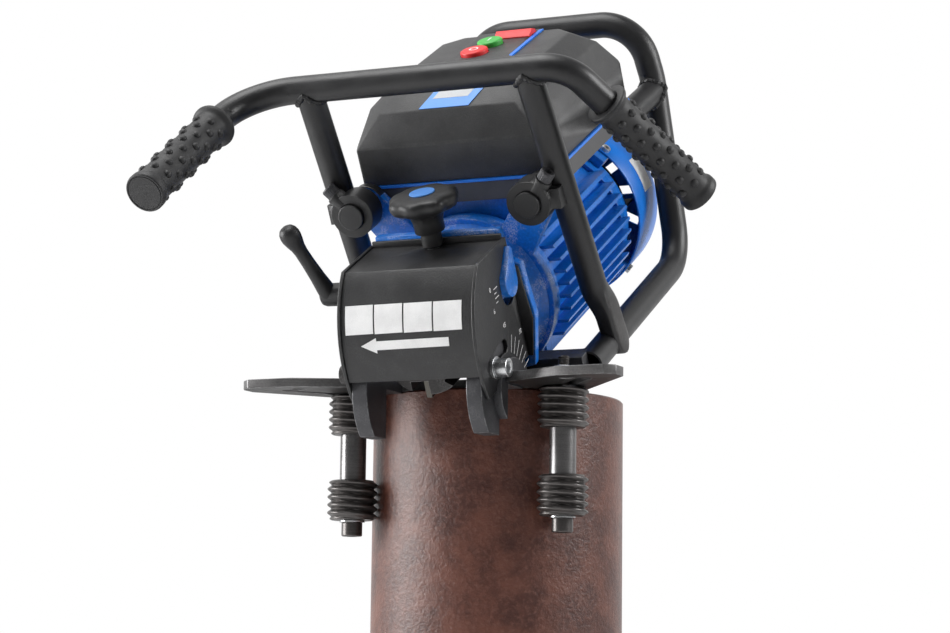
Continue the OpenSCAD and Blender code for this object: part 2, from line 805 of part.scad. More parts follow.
// switch box
module box_ring(h0, h1, g, floor_t) difference() {
  block([-box_half - g, box_a0 - g, h0], [box_half + g, box_a1 + g, h1]);
  block([-box_half + ring_w, box_a0 + ring_w, h0 + floor_t], [box_half - ring_w, box_a1 - ring_w, h1 + cut]);
}
module box_base() color(grey) head() box_ring(box_n0, trim_n, -base_inset, box_floor);
module box_gasket() color(blue) head() box_ring(trim_n, cover_n, gasket_lip, -cut);
// rectangle with cut corners, as a thin layer
module layer(x, a0, a1, c, n) translate([0, 0, n - skin]) linear_extrude(skin)
  polygon([[-x + c, a0], [x - c, a0], [x, a0 + c], [x, a1 - c],
    [x - c, a1], [-x + c, a1], [-x, a1 - c], [-x, a0 + c]]);
module cover_form(g) hull() {
  block([-box_half + g, box_a0 + g, cover_n], [box_half - g, box_a1 - g, cover_n + skin]);
  block([-box_half + crease_in + g, box_a0 - crease_lip + g, box_crease - skin],
    [box_half - crease_in - g, box_a1 + crease_lip - g, box_crease]);
  layer(box_half - ring_in - g, box_a0 + ring_front + g, box_a1 - ring_in - g, ring_cham, box_ring_n);
  layer(box_half - roof_in - g, box_a0 + roof_front + g, box_a1 - roof_in - g, roof_cham, box_top - g);
}
module switch_well(g, n0, n1) block([switch_x0 + switch_rim - g, switch_a0 + switch_rim - g, n0],
  [switch_x1 - switch_rim + g, switch_a1 - switch_rim + g, n1]);
module box_cover() color(black) head() difference() {
  cover_form(0);
  translate([0, 0, -cut]) cover_form(box_wall);
  switch_well(slip * 4, box_top - plate_deep - skin, box_top + cut);
}
module switch_bezel() color(blue) head() difference() {
  block([switch_x0, switch_a0, box_top], [switch_x1, switch_a1, box_top + switch_h]);
  switch_well(slip * 4, box_top - cut, box_top + switch_h + cut);
}
module button(p, r, h, n0) translate([p[0], p[1], n0]) cylinder(r = r, h = h);
module switch_plate() color(black) head() difference() {
  switch_well(0, box_top - plate_deep, box_top + plate_proud);
  button(stop_at, stop_r + run_gap, big, box_top - well_deep);
  button(start_at, start_r + run_gap, big, box_top - well_deep);
  block([flap_x0 - run_gap, flap_a0 - run_gap, box_top - well_deep],
    [flap_x1 + run_gap, flap_a1 + flap_pin_r + run_gap, box_top + big]);
}
module stop_button() color(red) head() button(stop_at, stop_r, stop_h, box_top - button_sink);
module start_button() color(green) head() button(start_at, start_r, start_h, box_top - button_sink);
module stop_flap() color(red) head() {
  x_slab(flap_x0, flap_x1) polygon([[flap_a0, box_top], [flap_a0, box_top + flap_front_h],
    [flap_a0 + flap_peak, box_top + flap_peak_h], [flap_a1, box_top + flap_front_h], [flap_a1, box_top]]);
  translate([0, flap_a1, box_top + flap_pin_r]) x_cyl(flap_pin_r, flap_x0 + slip, flap_x1 - slip);
}

// handle frame
module handlebar() color(black) head() bent(bar_pts, bar_bends, tube_r, tube_in);
module rail() bent(rail_pts, rail_bends, tube_r, tube_in);
module strut() difference() {
  rod(strut_top, strut_low, tube_r, tube_in);
  rod(bar_pts[1], bar_pts[2], tube_r + slip);
  rod(rail_pts[0], rail_pts[1], tube_r + slip);
}
module stub() difference() {
  rod(stub_front, stub_back, tube_r, tube_in);
  rod(rail_pts[1], rail_pts[2] + unit(rail_top - rail_pts[1]) * tube_r * 2, tube_r + weld_gap);
  translate([0, box_a1 - base_inset - big, 0]) cube(big);
}
module right_strut() color(black) head() strut();
module left_strut() color(black) head() mirror([1, 0, 0]) strut();
module right_rail() color(black) head() rail();
module left_rail() color(black) head() mirror([1, 0, 0]) rail();
module rear_hoop() color(black) head() bent(hoop_pts, hoop_bends, tube_r, tube_in);
module rail_stubs() color(black) head() both() stub();
module grip() color(black) rotate_extrude() difference() {
  union() {
    square([grip_r, grip_len]);
    square([grip_collar_r, grip_collar_t]);
    translate([0, grip_len - grip_end_len]) square([grip_end_r, grip_end_len]);
  }
  translate([-cut, -cut]) square([tube_r + turn_gap + cut, grip_len - grip_cap_t + cut * 2]);
}
module grip_at(p, q) {
  d = unit(q - p);
  e = perp(d);
  frame_at(q - d * (grip_len - grip_cap_t), e, cross(d, e)) grip();
}
module left_grip() head() grip_at(bar_pts[1], bar_pts[0]);
module right_grip() head() grip_at(bar_pts[2], bar_pts[3]);
module at_pin() translate([pin_x, 0, pin_n]) children();
module at_clamp_screw() translate([pin_x, screw_a, pin_n]) rotate([0, screw_deg, 0]) children();
module frame_clamp() color(black) difference() {
  union() {
    at_pin() a_cyl(clamp_r, clamp_a0, clamp_a1);
    block([pin_x + jaw_in, jaw_a0, pin_n - jaw_half], [pin_x + jaw_out, jaw_a1, pin_n + jaw_half]);
    at_clamp_screw() cylinder(r = screw_boss_r, h = screw_boss_h);
  }
  at_pin() a_cyl(pin_r + seat_gap, 0, clamp_a1);
  at_pin() a_cyl(pin_tail_r + seat_gap, 0, big);
  rod(strut_top, strut_low, tube_r + seat_gap);
  at_clamp_screw() translate([0, 0, screw_boss_h - screw_len])
    cylinder(r = screw_r + seat_gap, h = screw_len + cut);
}
module right_clamp() head() frame_clamp();
module left_clamp() head() mirror([1, 0, 0]) frame_clamp();
module clamp_pins() color(dark) head() both() at_pin() {
  a_cyl(pin_r, pin_a0, clamp_a1 - slip);
  a_cyl(pin_tail_r, clamp_a1 - cut, motor_a0);
}
module clamp_screws() color(steel) head() both() at_clamp_screw() {
  translate([0, 0, screw_boss_h - screw_len + cut]) cylinder(r = screw_r, h = screw_len);
  translate([0, 0, screw_boss_h]) cylinder(r = screw_head_r, h = screw_head_h);
}
module rail_lugs() color(grey) head() both() difference() {
  lug_a = housing_a0 + flange_t;
  block([rail_lug_x, lug_a, rail_n], [rail_x, lug_a + rail_lug_len, rail_n + rail_lug_h]);
  rod(rail_pts[0], rail_pts[1], tube_r + slip);
  translate([0, 0, axis_n]) a_cyl(neck_r + turn_gap * 2, 0, big);
}

// spinning set
module motor_shaft() color(steel) on_axis() {
  a_cyl(arbor_r, cutter_a0 - arbor_nose, cutter_a1);
  a_cyl(collar_r, cutter_a1, cutter_a1 + collar_t);
  a_cyl(shaft_r, cutter_a1 + collar_t, fan_a0 + fan_hub_len + cut);
}
module rotor_core() color(grey) on_axis() difference() {
  a_cyl(rotor_r, core_a0, core_a1);
  a_cyl(shaft_r + seat_gap, core_a0 - cut, core_a1 + cut);
}
module cooling_fan() color(dark) on_axis() difference() {
  union() {
    a_cyl(fan_hub_r, fan_a0, fan_a0 + fan_hub_len);
    a_cyl(fan_r, fan_a0, fan_a0 + fan_disc_t);
    for (i = [0 : fan_blades - 1]) rotate([0, i * 360 / fan_blades, 0])
      block([-blade_t / 2, fan_a0 + fan_disc_t - cut, blade_root], [blade_t / 2, fan_a0 + fan_hub_len, fan_r]);
  }
  a_cyl(shaft_r + seat_gap, 0, big);
}
module cutter_head() color(grey) on_axis() difference() {
  a_cyl(cutter_r - body_step, cutter_a0, cutter_a1);
  a_cyl(arbor_r + seat_gap, cutter_a0 - cut, cutter_a1 + cut);
  for (i = [0 : insert_count - 1]) rotate([0, i * 360 / insert_count, 0])
    block([0, cutter_a0 - cut, cutter_r - pocket],
      [pocket, cutter_a1 - pocket_tail - cut, cutter_r + body_step]);
}
module cutter_inserts() color(gold) on_axis()
  for (i = [0 : insert_count - 1]) rotate([0, i * 360 / insert_count, 0])
    block([0, insert_a0, cutter_r - pocket], [insert_w, insert_a0 + insert_len, cutter_r - pocket + insert_h]);

base_plate();
left_arm();
right_arm();
left_shoe();
right_shoe();
bevel_screws();
bevel_washers();
left_roller_bolt();
right_roller_bolt();
roller_nuts();
roller_washers();
left_upper_roller();
left_sleeve();
left_lower_roller();
right_upper_roller();
right_sleeve();
right_lower_roller();
guard_cover();
left_cheek();
right_cheek();
depth_spindle();
depth_knob();
knob_cap();
lever_stud();
clamp_lever();
spindle_housing();
frame_bracket();
motor_housing();
stator_core();
rear_shield();
fan_cowl();
cowl_screws();
shaft_bearings();
box_base();
box_gasket();
box_cover();
switch_bezel();
switch_plate();
stop_button();
start_button();
stop_flap();
handlebar();
left_strut();
right_strut();
left_rail();
right_rail();
rear_hoop();
rail_stubs();
left_grip();
right_grip();
left_clamp();
right_clamp();
clamp_pins();
clamp_screws();
rail_lugs();
motor_shaft();
rotor_core();
cooling_fan();
cutter_head();
cutter_inserts();
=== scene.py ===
"""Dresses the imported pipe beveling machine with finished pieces, procedural materials and a stage."""

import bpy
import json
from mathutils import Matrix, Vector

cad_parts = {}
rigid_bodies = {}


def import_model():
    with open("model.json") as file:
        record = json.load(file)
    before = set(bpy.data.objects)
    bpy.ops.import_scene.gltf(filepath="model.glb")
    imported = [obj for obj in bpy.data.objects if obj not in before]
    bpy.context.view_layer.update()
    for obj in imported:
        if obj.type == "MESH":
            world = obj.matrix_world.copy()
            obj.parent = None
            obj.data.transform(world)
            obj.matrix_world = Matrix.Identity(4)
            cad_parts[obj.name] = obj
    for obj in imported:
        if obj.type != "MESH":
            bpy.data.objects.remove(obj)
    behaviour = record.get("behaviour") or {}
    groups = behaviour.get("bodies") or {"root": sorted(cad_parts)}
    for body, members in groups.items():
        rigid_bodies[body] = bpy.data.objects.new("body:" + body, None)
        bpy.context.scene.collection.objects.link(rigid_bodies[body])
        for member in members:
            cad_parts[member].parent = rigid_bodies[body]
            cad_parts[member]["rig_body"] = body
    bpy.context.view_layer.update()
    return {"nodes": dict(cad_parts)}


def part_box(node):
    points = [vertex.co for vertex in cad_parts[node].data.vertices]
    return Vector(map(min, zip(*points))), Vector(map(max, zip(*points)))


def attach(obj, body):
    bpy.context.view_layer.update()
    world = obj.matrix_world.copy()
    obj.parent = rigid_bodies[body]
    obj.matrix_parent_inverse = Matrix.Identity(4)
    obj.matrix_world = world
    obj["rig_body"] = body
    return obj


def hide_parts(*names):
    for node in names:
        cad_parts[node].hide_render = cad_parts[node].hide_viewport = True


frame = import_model()

import json
import math

import bmesh
import bpy
from bpy.props import FloatProperty, FloatVectorProperty, IntProperty, PointerProperty
from mathutils import Matrix, Vector

bl_info = {
    "name": "Pipe beveling machine dresser",
    "version": (1, 0, 0),
    "blender": (4, 5, 0),
    "location": "View3D > Sidebar > Beveler",
    "description": "Finished pieces, materials and a stage for the packed pipe beveling machine",
    "category": "Object",
}

MM = 0.001
SIDES = 48
SHARP = 24.0  # degrees: an edge that turns more is rounded and shaded sharp
PIVOT = Vector((0.0, -0.115004, -0.006))
TILT = math.radians(30)
HEAD = Matrix.Translation(PIVOT) @ Matrix.Rotation(TILT, 4, "X")
SIDEWAYS = Matrix(((0, 0, 1), (1, 0, 0), (0, 1, 0))).to_4x4()  # outlines in (a, n), raised along x

# places on the tilting head in millimetres, as (x, a, n): x across, a along the motor, n off the table
TUBE_R = 12.0
BAR = ((-170.6, -102, 233), (-162, 75, 255.5), (137.4, 75, 255.5), (203, 144, 117))
STRUT = ((101.5, 75, 255.5), (106, 127, -8))
RAIL = ((106, 72, -8), (106, 322, -8), (90.5, 381, 150))
STUB = ((84, 311, 136), (91.48, 377.3, 140.05))
PIN, PIN_EYE_R, CLAMP_SCREW_R = (82.5, 73, 141.5), 17.0, 24.0
KNOB_A = 42.0
LEVER_HUB = (-64, 15, 90)
LEVER_ARM = ((-92, 13, 91), (-104.5, -7, 152))
CHEEK_X = 63.0
FRONT_A, FRONT_N, FRONT_R = 52.0, 42.0, 98.6  # round front of the guard
MOTOR_N, COWL_R, COWL_SCREW_A = 48.0, 82.5, 313.0
SLOPE_LOW, SLOPE_HIGH = (122.0, 215.0), (148.0, 231.0)  # front slope of the cover, in (a, n)
BOX_TOP = 231.0
STOP, START = (-10.5, 224.5, 236.6), (-5.0, 249.5, 237.4)  # tops of the buttons
STOP_R, START_R, BUTTON_SINK = 12.5, 11.5, 2.0
RIM_OUT, RIM_IN, RIM_H = (-31, 206, 32, 288), (-27.5, 209.5, 28.5, 284.5), 1.4  # x, a, x, a
FLAP_X, FLAP_W, FLAP_ROUND = -7.0, 34.5, 0.7
FLAP_SIDE = ((264, 231), (264, 233.4), (265, 234.2), (271, 237.6), (272.5, 237.9), (280, 235.2),
             (281, 234.2), (281, 231))
GRIP_LEN, GRIP_R, GRIP_SEAT = 125.0, 15.3, 119.0
NUB_SEAT, NUB_FIRST, NUB_PITCH = 15.2, 18.0, 12.4
FIGURE_H, MARK_T = 6.0, 0.3
PIPE_OUT, PIPE_IN, PIPE_CHAMFER, FLOOR_Z, FLOOR_HALF = 109.55, 101.3, 1.5, -620.0, 6000.0  # of the stage


def colour_prop(title, what, value):
    """A colour that the user may change, with its default."""
    return FloatVectorProperty(name=title, description=what, default=value, size=3,
                               min=0, max=1, subtype="COLOR")


def length_prop(title, what, value):
    """A length in millimetres."""
    return FloatProperty(name=title, description=what + ", in millimetres", default=value, min=0)


class BevelerSizes(bpy.types.PropertyGroup):
    """Sizes of the dressed pieces, in millimetres."""
    nub_radius: length_prop("Nub radius", "Radius of a nub on the grips", 3.7)
    nub_height: length_prop("Nub height", "Height of a nub on the grips", 2.7)
    nub_rows: IntProperty(name="Nub rows", description="Rows of nubs along a grip", default=8, min=1)
    nub_count: IntProperty(name="Nubs in a row", description="Nubs round a grip", default=7, min=1)
    rib_pitch: length_prop("Rib pitch", "Pitch of the helical rib on the guide rollers", 6.8)
    rib_crest: length_prop("Rib crest", "Outer radius of the guide rollers", 21.7)
    rib_root: length_prop("Rib root", "Radius between the ribs of the guide rollers", 18.2)
    bead: length_prop("Weld bead", "Radius of a weld bead on the handle frame", 2.6)
    tick_width: length_prop("Tick width", "Width of a scale line", 0.55)


class BevelerColours(bpy.types.PropertyGroup):
    """Colours of the finishes."""
    powder: colour_prop("Powder coat", "Satin black powder coat of the tubes", (0.009, 0.009, 0.010))
    guard: colour_prop("Guard coat", "Black coat of the guard", (0.012, 0.012, 0.013))
    oxide: colour_prop("Oxide steel", "Blackened steel of the table", (0.030, 0.028, 0.028))
    rib_steel: colour_prop("Roller steel", "Dark turned steel of the rollers", (0.105, 0.098, 0.095))
    spindle: colour_prop("Spindle steel", "Turned steel of the spacer sleeves", (0.18, 0.176, 0.176))
    shoe: colour_prop("Shoe steel", "Grey steel of the swivel shoes", (0.050, 0.050, 0.055))
    cut: colour_prop("Cut edge", "Bare brushed edge of the table's plates", (0.15, 0.147, 0.147))
    zinc: colour_prop("Zinc", "Bright plated fasteners", (0.60, 0.61, 0.62))
    cast_blue: colour_prop("Cast blue", "Paint of the castings and the motor", (0.004, 0.150, 0.58))
    plastic_blue: colour_prop("Plastic blue", "Gasket and switch frame", (0.010, 0.18, 0.74))
    pale_blue: colour_prop("Pale blue", "Cap of the depth knob", (0.085, 0.30, 0.80))
    cover: colour_prop("Cover", "Moulded cover of the switch box", (0.028, 0.028, 0.029))
    base_grey: colour_prop("Base grey", "Base of the switch box", (0.060, 0.060, 0.063))
    rubber: colour_prop("Rubber", "Grip rubber", (0.013, 0.013, 0.014))
    red: colour_prop("Red", "Stop button and flap", (0.72, 0.018, 0.020))
    green: colour_prop("Green", "Start button", (0.045, 0.42, 0.055))
    mark: colour_prop("Marks", "Scale lines and plain plates", (0.78, 0.78, 0.78))
    silver: colour_prop("Silver print", "Bare panel of the cover's badge", (0.50, 0.52, 0.54))
    carbide: colour_prop("Carbide", "Cutting inserts", (0.10, 0.095, 0.085))


def sizes():
    """The sizes now set in the scene."""
    return bpy.context.scene.beveler_sizes


def colours():
    """The colours now set in the scene."""
    return bpy.context.scene.beveler_colours


# shader groups and materials
class Graph:
    """Adds and links nodes of one tree."""

    def __init__(self, tree):
        self.tree = tree

    def fill(self, node, **links):
        """Links or sets a node's inputs, named by index (_0) or by name with spaces as underscores."""
        for key, value in links.items():
            socket = node.inputs[int(key[1:]) if key[0] == "_" else key.replace("_", " ")]
            if isinstance(value, bpy.types.NodeSocket):
                self.tree.links.new(value, socket)
            else:
                socket.default_value = value
        return node

    def add(self, kind, settings=None, **links):
        """A new node, with its settings and its inputs."""
        node = self.tree.nodes.new(kind)
        for key, value in (settings or {}).items():
            setattr(node, key, value)
        return self.fill(node, **links)

    def math(self, operation, a, b=0.0, clamp=False):
        """A Math node's result."""
        return self.add("ShaderNodeMath", {"operation": operation, "use_clamp": clamp}, _0=a, _1=b).outputs[0]

    def times(self, a, b, clamp=False):
        """A product."""
        return self.math("MULTIPLY", a, b, clamp)

    def vector(self, x=0.0, y=0.0, z=0.0):
        """A vector of three parts."""
        return self.add("ShaderNodeCombineXYZ", X=x, Y=y, Z=z).outputs[0]

    def spread(self, value, low, high, to_low, to_high):
        """A value mapped from one range to another."""
        node = self.add("ShaderNodeMapRange", {"interpolation_type": "SMOOTHSTEP"}, Value=value,
                        From_Min=low, From_Max=high, To_Min=to_low, To_Max=to_high)
        return node.outputs[0]

    def noise(self, vector, scale, detail=3.0, rough=0.55):
        """A Noise Texture's value."""
        node = self.add("ShaderNodeTexNoise", Vector=vector, Scale=scale, Detail=detail, Roughness=rough)
        return node.outputs[0]

    def cloud(self, vector, scale, detail, rough, low, high, least=0.0):
        """A Noise Texture's value, spread from the least to 1."""
        return self.spread(self.noise(vector, scale, detail, rough), low, high, least, 1.0)

    def mix(self, factor, a, b, blend="MIX"):
        """A mix of two colours."""
        node = self.add("ShaderNodeMix", {"data_type": "RGBA", "blend_type": blend}, _0=factor, _6=a, _7=b)
        return node.outputs[2]

    def place(self):
        """The place on the object, in metres."""
        return self.add("ShaderNodeTexCoord").outputs["Object"]


def new_group(kind, name, inputs, outputs):
    """A node group with named sockets: the tree, its graph, its inputs and its output node."""
    tree = bpy.data.node_groups.new(name, kind)
    for way, rows in (("INPUT", inputs), ("OUTPUT", outputs)):
        for title, sort, *value in rows:
            socket = tree.interface.new_socket(name=title, in_out=way, socket_type="NodeSocket" + sort)
            if value:
                socket.default_value = value[0]
    graph = Graph(tree)
    return tree, graph, graph.add("NodeGroupInput").outputs, graph.add("NodeGroupOutput")


def shader_group(name, inputs, outputs=()):
    """A shader group that is given a place, and gives a colour first."""
    return new_group("ShaderNodeTree", name, [("Vector", "Vector"), *inputs], [("Colour", "Color"), *outputs])


def grain_group():
    """Fine surface grain: mottled colour, uneven roughness and a height for the bump."""
    tree, graph, given, put = shader_group("fine_grain", [
        ("Scale", "Float", 900.0), ("Dark", "Color"), ("Light", "Color"), ("Rough Low", "Float", 0.4),
        ("Rough High", "Float", 0.6)], [("Roughness", "Float"), ("Height", "Float")])
    vector, scale = given["Vector"], given["Scale"]
    fine = graph.noise(vector, scale, 4.0, 0.6)
    broad = graph.noise(vector, graph.times(scale, 0.035), 3.0)
    blotch = graph.math("ADD", graph.times(fine, 0.45), graph.times(broad, 0.55))
    cells = graph.add("ShaderNodeTexVoronoi", {"feature": "SMOOTH_F1"}, Vector=vector,
                      Scale=graph.times(scale, 0.7)).outputs["Distance"]
    colour = graph.mix(graph.spread(blotch, 0.34, 0.66, 0.0, 1.0), given["Dark"], given["Light"])
    rough = graph.add("ShaderNodeMapRange", Value=broad, From_Min=0.3, From_Max=0.7,
                      To_Min=given["Rough Low"], To_Max=given["Rough High"]).outputs[0]
    graph.fill(put, Colour=colour, Roughness=rough, Height=graph.math("SUBTRACT", fine, cells))
    return tree


def layer_group(name, mask):
    """A group that lays a colour over another, through a mask that a function builds."""
    tree, graph, given, put = shader_group(name, [
        ("Colour", "Color"), ("Over", "Color"), ("Amount", "Float")])
    cover = graph.times(mask(graph, given["Vector"]), given["Amount"], True)
    graph.fill(put, Colour=graph.mix(cover, given["Colour"], given["Over"]))
    return tree


def edge_wear(graph, place):
    """The strip that the rounded edges mark, broken up by noise."""
    edge = graph.add("ShaderNodeAttribute", {"attribute_name": "edge"}).outputs["Fac"]
    return graph.times(edge, graph.cloud(place, 140.0, 5.0, 0.65, 0.42, 0.62, 0.15))


def rubbed_patches(graph, place):
    """Lighter patches, partly scuffed chalky paint and partly painted highlight, broken up by fine scratches.
    """
    return graph.times(graph.cloud(place, 55.0, 3.0, 0.6, 0.46, 0.60),
                       graph.cloud(place, 900.0, 3.0, 0.7, 0.42, 0.62))


def dust_film(graph, place):
    """A thin film of dust and handling marks, thicker on upward faces."""
    normal = graph.add("ShaderNodeNewGeometry").outputs["Normal"]
    up = graph.add("ShaderNodeSeparateXYZ", _0=normal).outputs[2]
    return graph.times(graph.cloud(place, 38.0, 6.0, 0.7, 0.45, 0.75), graph.spread(up, 0.0, 1.0, 0.35, 1.0))


def turned_group():
    """Fine lathe lines across the axis of a turned piece."""
    tree, graph, given, put = shader_group("turned_lines", [
        ("Colour", "Color"), ("Scale", "Float", 900.0)], [("Height", "Float")])
    stretched = graph.add("ShaderNodeVectorMath", {"operation": "MULTIPLY"}, _0=given["Vector"],
                          _1=(0.04, 0.04, 1.0)).outputs[0]
    lines = graph.noise(stretched, given["Scale"], 2.0, 0.7)
    tones = graph.mix(graph.spread(lines, 0.3, 0.7, 0.0, 1.0), (0.90, 0.90, 0.90, 1), (1.08, 1.08, 1.08, 1))
    graph.fill(put, Colour=graph.mix(1.0, given["Colour"], tones, "MULTIPLY"), Height=lines)
    return tree


DUST = (0.42, 0.41, 0.39, 1)
# finish: colour name, dark and light factor, roughness low and high, metallic, grain per metre, bump,
# edge wear, dust, scuffs and painted highlight patches, lathe lines along the head axis or upright
FINISHES = {
    "powder_coat": ("powder", 0.85, 1.25, 0.36, 0.46, 0.0, 1500, 0.14, 0.20, 0.02, 0.01, ""),
    "guard_coat": ("guard", 0.80, 1.30, 0.40, 0.50, 0.0, 1000, 0.26, 0.30, 0.02, 0.02, ""),
    "oxide_steel": ("oxide", 0.70, 1.35, 0.34, 0.50, 0.55, 700, 0.10, 0.55, 0.06, 0.08, ""),
    "cut_steel": ("cut", 0.75, 1.20, 0.34, 0.48, 0.85, 600, 0.12, 0.40, 0.02, 0.0, "up"),
    "roller_steel": ("rib_steel", 0.80, 1.15, 0.28, 0.38, 0.80, 900, 0.02, 0.40, 0.01, 0.0, "up"),
    "spindle_steel": ("spindle", 0.80, 1.15, 0.26, 0.36, 0.80, 900, 0.02, 0.40, 0.01, 0.0, "up"),
    "shoe_steel": ("shoe", 0.80, 1.20, 0.38, 0.52, 0.35, 800, 0.10, 0.45, 0.05, 0.06, ""),
    "zinc_plate": ("zinc", 0.85, 1.08, 0.22, 0.34, 1.0, 700, 0.05, 0.10, 0.02, 0.0, ""),
    "ground_steel": ("zinc", 0.55, 0.75, 0.26, 0.38, 1.0, 700, 0.05, 0.10, 0.02, 0.0, "head"),
    "cast_paint": ("cast_blue", 0.80, 1.22, 0.26, 0.40, 0.0, 420, 0.22, 0.34, 0.04, 0.06, ""),
    # the many light patches of the neck paint are painted highlights as well as scuffs
    "neck_paint": ("cast_blue", 0.78, 1.25, 0.26, 0.46, 0.0, 420, 0.40, 0.55, 0.04, 0.85, ""),
    "cowl_paint": ("cast_blue", 0.90, 1.15, 0.24, 0.34, 0.0, 900, 0.06, 0.22, 0.05, 0.02, ""),
    "blue_moulding": ("plastic_blue", 0.92, 1.08, 0.36, 0.46, 0.0, 1500, 0.06, 0.05, 0.02, 0.0, ""),
    "pale_plastic": ("pale_blue", 0.92, 1.08, 0.38, 0.48, 0.0, 1500, 0.06, 0.05, 0.02, 0.0, ""),
    "cover_plastic": ("cover", 0.80, 1.30, 0.46, 0.58, 0.0, 1200, 0.34, 0.12, 0.04, 0.02, ""),
    "knob_plastic": ("powder", 0.90, 1.30, 0.42, 0.54, 0.0, 1500, 0.14, 0.15, 0.04, 0.0, ""),
    "base_plastic": ("base_grey", 0.90, 1.12, 0.44, 0.56, 0.0, 1500, 0.10, 0.08, 0.05, 0.0, ""),
    "red_moulding": ("red", 0.90, 1.10, 0.42, 0.52, 0.0, 1200, 0.04, 0.04, 0.01, 0.0, ""),
    "green_moulding": ("green", 0.90, 1.10, 0.42, 0.52, 0.0, 1200, 0.04, 0.04, 0.01, 0.0, ""),
    "soft_rubber": ("rubber", 0.85, 1.22, 0.50, 0.66, 0.0, 1300, 0.16, 0.05, 0.08, 0.0, ""),
    "mark_paint": ("mark", 0.88, 1.04, 0.45, 0.60, 0.0, 1500, 0.05, 0.0, 0.02, 0.0, ""),
    "silver_print": ("silver", 0.92, 1.05, 0.40, 0.50, 0.0, 1500, 0.05, 0.0, 0.02, 0.0, ""),
    "hard_metal": ("carbide", 0.85, 1.15, 0.28, 0.40, 1.0, 900, 0.05, 0.10, 0.0, 0.0, ""),
}


def shade(colour, factor=1.0):
    """A colour scaled by a factor, with full alpha."""
    return (*[min(1.0, part * factor) for part in colour], 1.0)


def make_finish(name, groups):
    """One procedural material from its row in FINISHES."""
    source, dark, light, low, high, metallic, scale, bump, wear, dust, rub, turning = FINISHES[name]
    colour = getattr(colours(), source)
    material = bpy.data.materials.new(name)
    material.use_nodes = True
    graph = Graph(material.node_tree)
    place = graph.place()

    def use(group, **links):
        return graph.add("ShaderNodeGroup", {"node_tree": groups[group]}, **links).outputs

    grain = use("grain", Vector=place, Scale=scale, Dark=shade(colour, dark), Light=shade(colour, light),
                Rough_Low=low, Rough_High=high)
    tint, height = grain["Colour"], grain["Height"]
    if turning:
        turn = (-TILT + math.pi / 2, 0, 0) if turning == "head" else (0, 0, 0)
        axis = graph.add("ShaderNodeMapping", Vector=place, Rotation=turn).outputs[0]
        turned = use("turned", Vector=axis, Colour=tint)
        tint, height = turned["Colour"], turned["Height"]
    bare = (0.34, 0.34, 0.35, 1) if metallic else shade([part * 0.7 + 0.10 for part in colour])
    # the lighter tint of the patches: partly scuffed paint, partly painted highlight
    scuff_and_sheen_tint = shade([part * 0.55 + 0.42 for part in colour])
    for layer, over, amount in (("wear", bare, wear), ("rub", scuff_and_sheen_tint, rub), ("dust", DUST, dust)):
        tint = use(layer, Vector=place, Colour=tint, Over=over, Amount=amount)["Colour"]
    lift = graph.add("ShaderNodeBump", Strength=bump, Distance=0.0004, Height=height)
    graph.fill(material.node_tree.nodes["Principled BSDF"], Base_Color=tint, Metallic=metallic,
               Roughness=grain["Roughness"], Normal=lift.outputs[0])
    return material


def finish(name):
    """The material of that finish, made with the rest at its first use."""
    if name not in bpy.data.materials:
        groups = {"grain": grain_group(), "turned": turned_group(),
                  "wear": layer_group("edge_wear", edge_wear),
                  "rub": layer_group("rubbed_patches", rubbed_patches),
                  "dust": layer_group("dust_film", dust_film)}
        for row in FINISHES:
            make_finish(row, groups)
    return bpy.data.materials[name]


# meshes and pieces
def head_points(rows):
    """Points of the tilting head, given in millimetres as (x, a, n), in the shared frame, in metres."""
    return [HEAD @ (Vector(row) * MM) for row in rows]


def head_place(x, a, n):
    """A matrix in metres at a point of the head, turned as the head is."""
    return HEAD @ Matrix.Translation(Vector((x, a, n)) * MM)


def head_along(start, along):
    """A matrix at a point of the head whose Z runs along a direction of the head."""
    z = Vector(along).normalized()
    x = Vector((0, 0, 1)).cross(z).normalized()
    return head_place(*start) @ Matrix((x, z.cross(x), z)).transposed().to_4x4()


def radial(degrees):
    """A direction across the head, turned from its straight up towards the right."""
    turn = math.radians(degrees)
    return Vector((math.sin(turn), 0, math.cos(turn)))


def polar(radius, turn, height):
    """A point in metres from a radius and height in millimetres and an angle."""
    return Vector((radius * math.cos(turn), radius * math.sin(turn), height)) * MM


def ring(work, count, place):
    """New vertices round a turn, each placed by a function of its angle."""
    return [work.verts.new(place(math.tau * i / count)) for i in range(count)]


def bridge(work, rings, loop=False):
    """Faces from each ring of vertices to the next; a ring of one vertex is a pole."""
    for low, high in zip(rings, rings[1:] + rings[:1] if loop else rings[1:]):
        sides = max(len(low), len(high))
        for i in range(sides):
            j = (i + 1) % sides
            corners = [low[i % len(low)], low[j % len(low)], high[j % len(high)], high[i % len(high)]]
            work.faces.new([v for k, v in enumerate(corners) if v not in corners[:k]])


def lathe(profile, sides=SIDES, closed=False):
    """A mesh turned about Z from (radius, height) pairs in millimetres; a radius of 0 is a pole."""
    work = bmesh.new()
    rings = [ring(work, sides if radius else 1, lambda turn: polar(radius, turn, height))
             for radius, height in profile]
    bridge(work, rings, closed)
    return work


def sweep(points, radii, sides=10):
    """A closed bead along a closed loop of points in metres, with a radius in millimetres at each."""
    work = bmesh.new()
    count = len(points)
    rings = []
    normal = None
    for i, point in enumerate(points):
        ahead = (points[(i + 1) % count] - points[i - 1]).normalized()
        normal = ahead.orthogonal() if normal is None else normal - ahead * normal.dot(ahead)
        normal.normalize()
        other = ahead.cross(normal)
        rings.append(ring(work, sides, lambda turn: point + (
            normal * math.cos(turn) + other * math.sin(turn)) * radii[i] * MM))
    first, last = rings[0], rings[-1]
    offset = min(range(sides), key=lambda k: (first[k].co - last[0].co).length)
    bridge(work, rings + [first[offset:] + first[:offset]])
    return work


def slab(outline, thick, matrix):
    """A flat plate from a counter-clockwise outline in millimetres, raised along the matrix's Z."""
    work = bmesh.new()
    low, high = ([work.verts.new(matrix @ (Vector((x, y, height)) * MM)) for x, y in outline]
                 for height in (0, thick))
    work.faces.new(low[::-1])
    work.faces.new(high)
    bridge(work, [low, high])
    return work


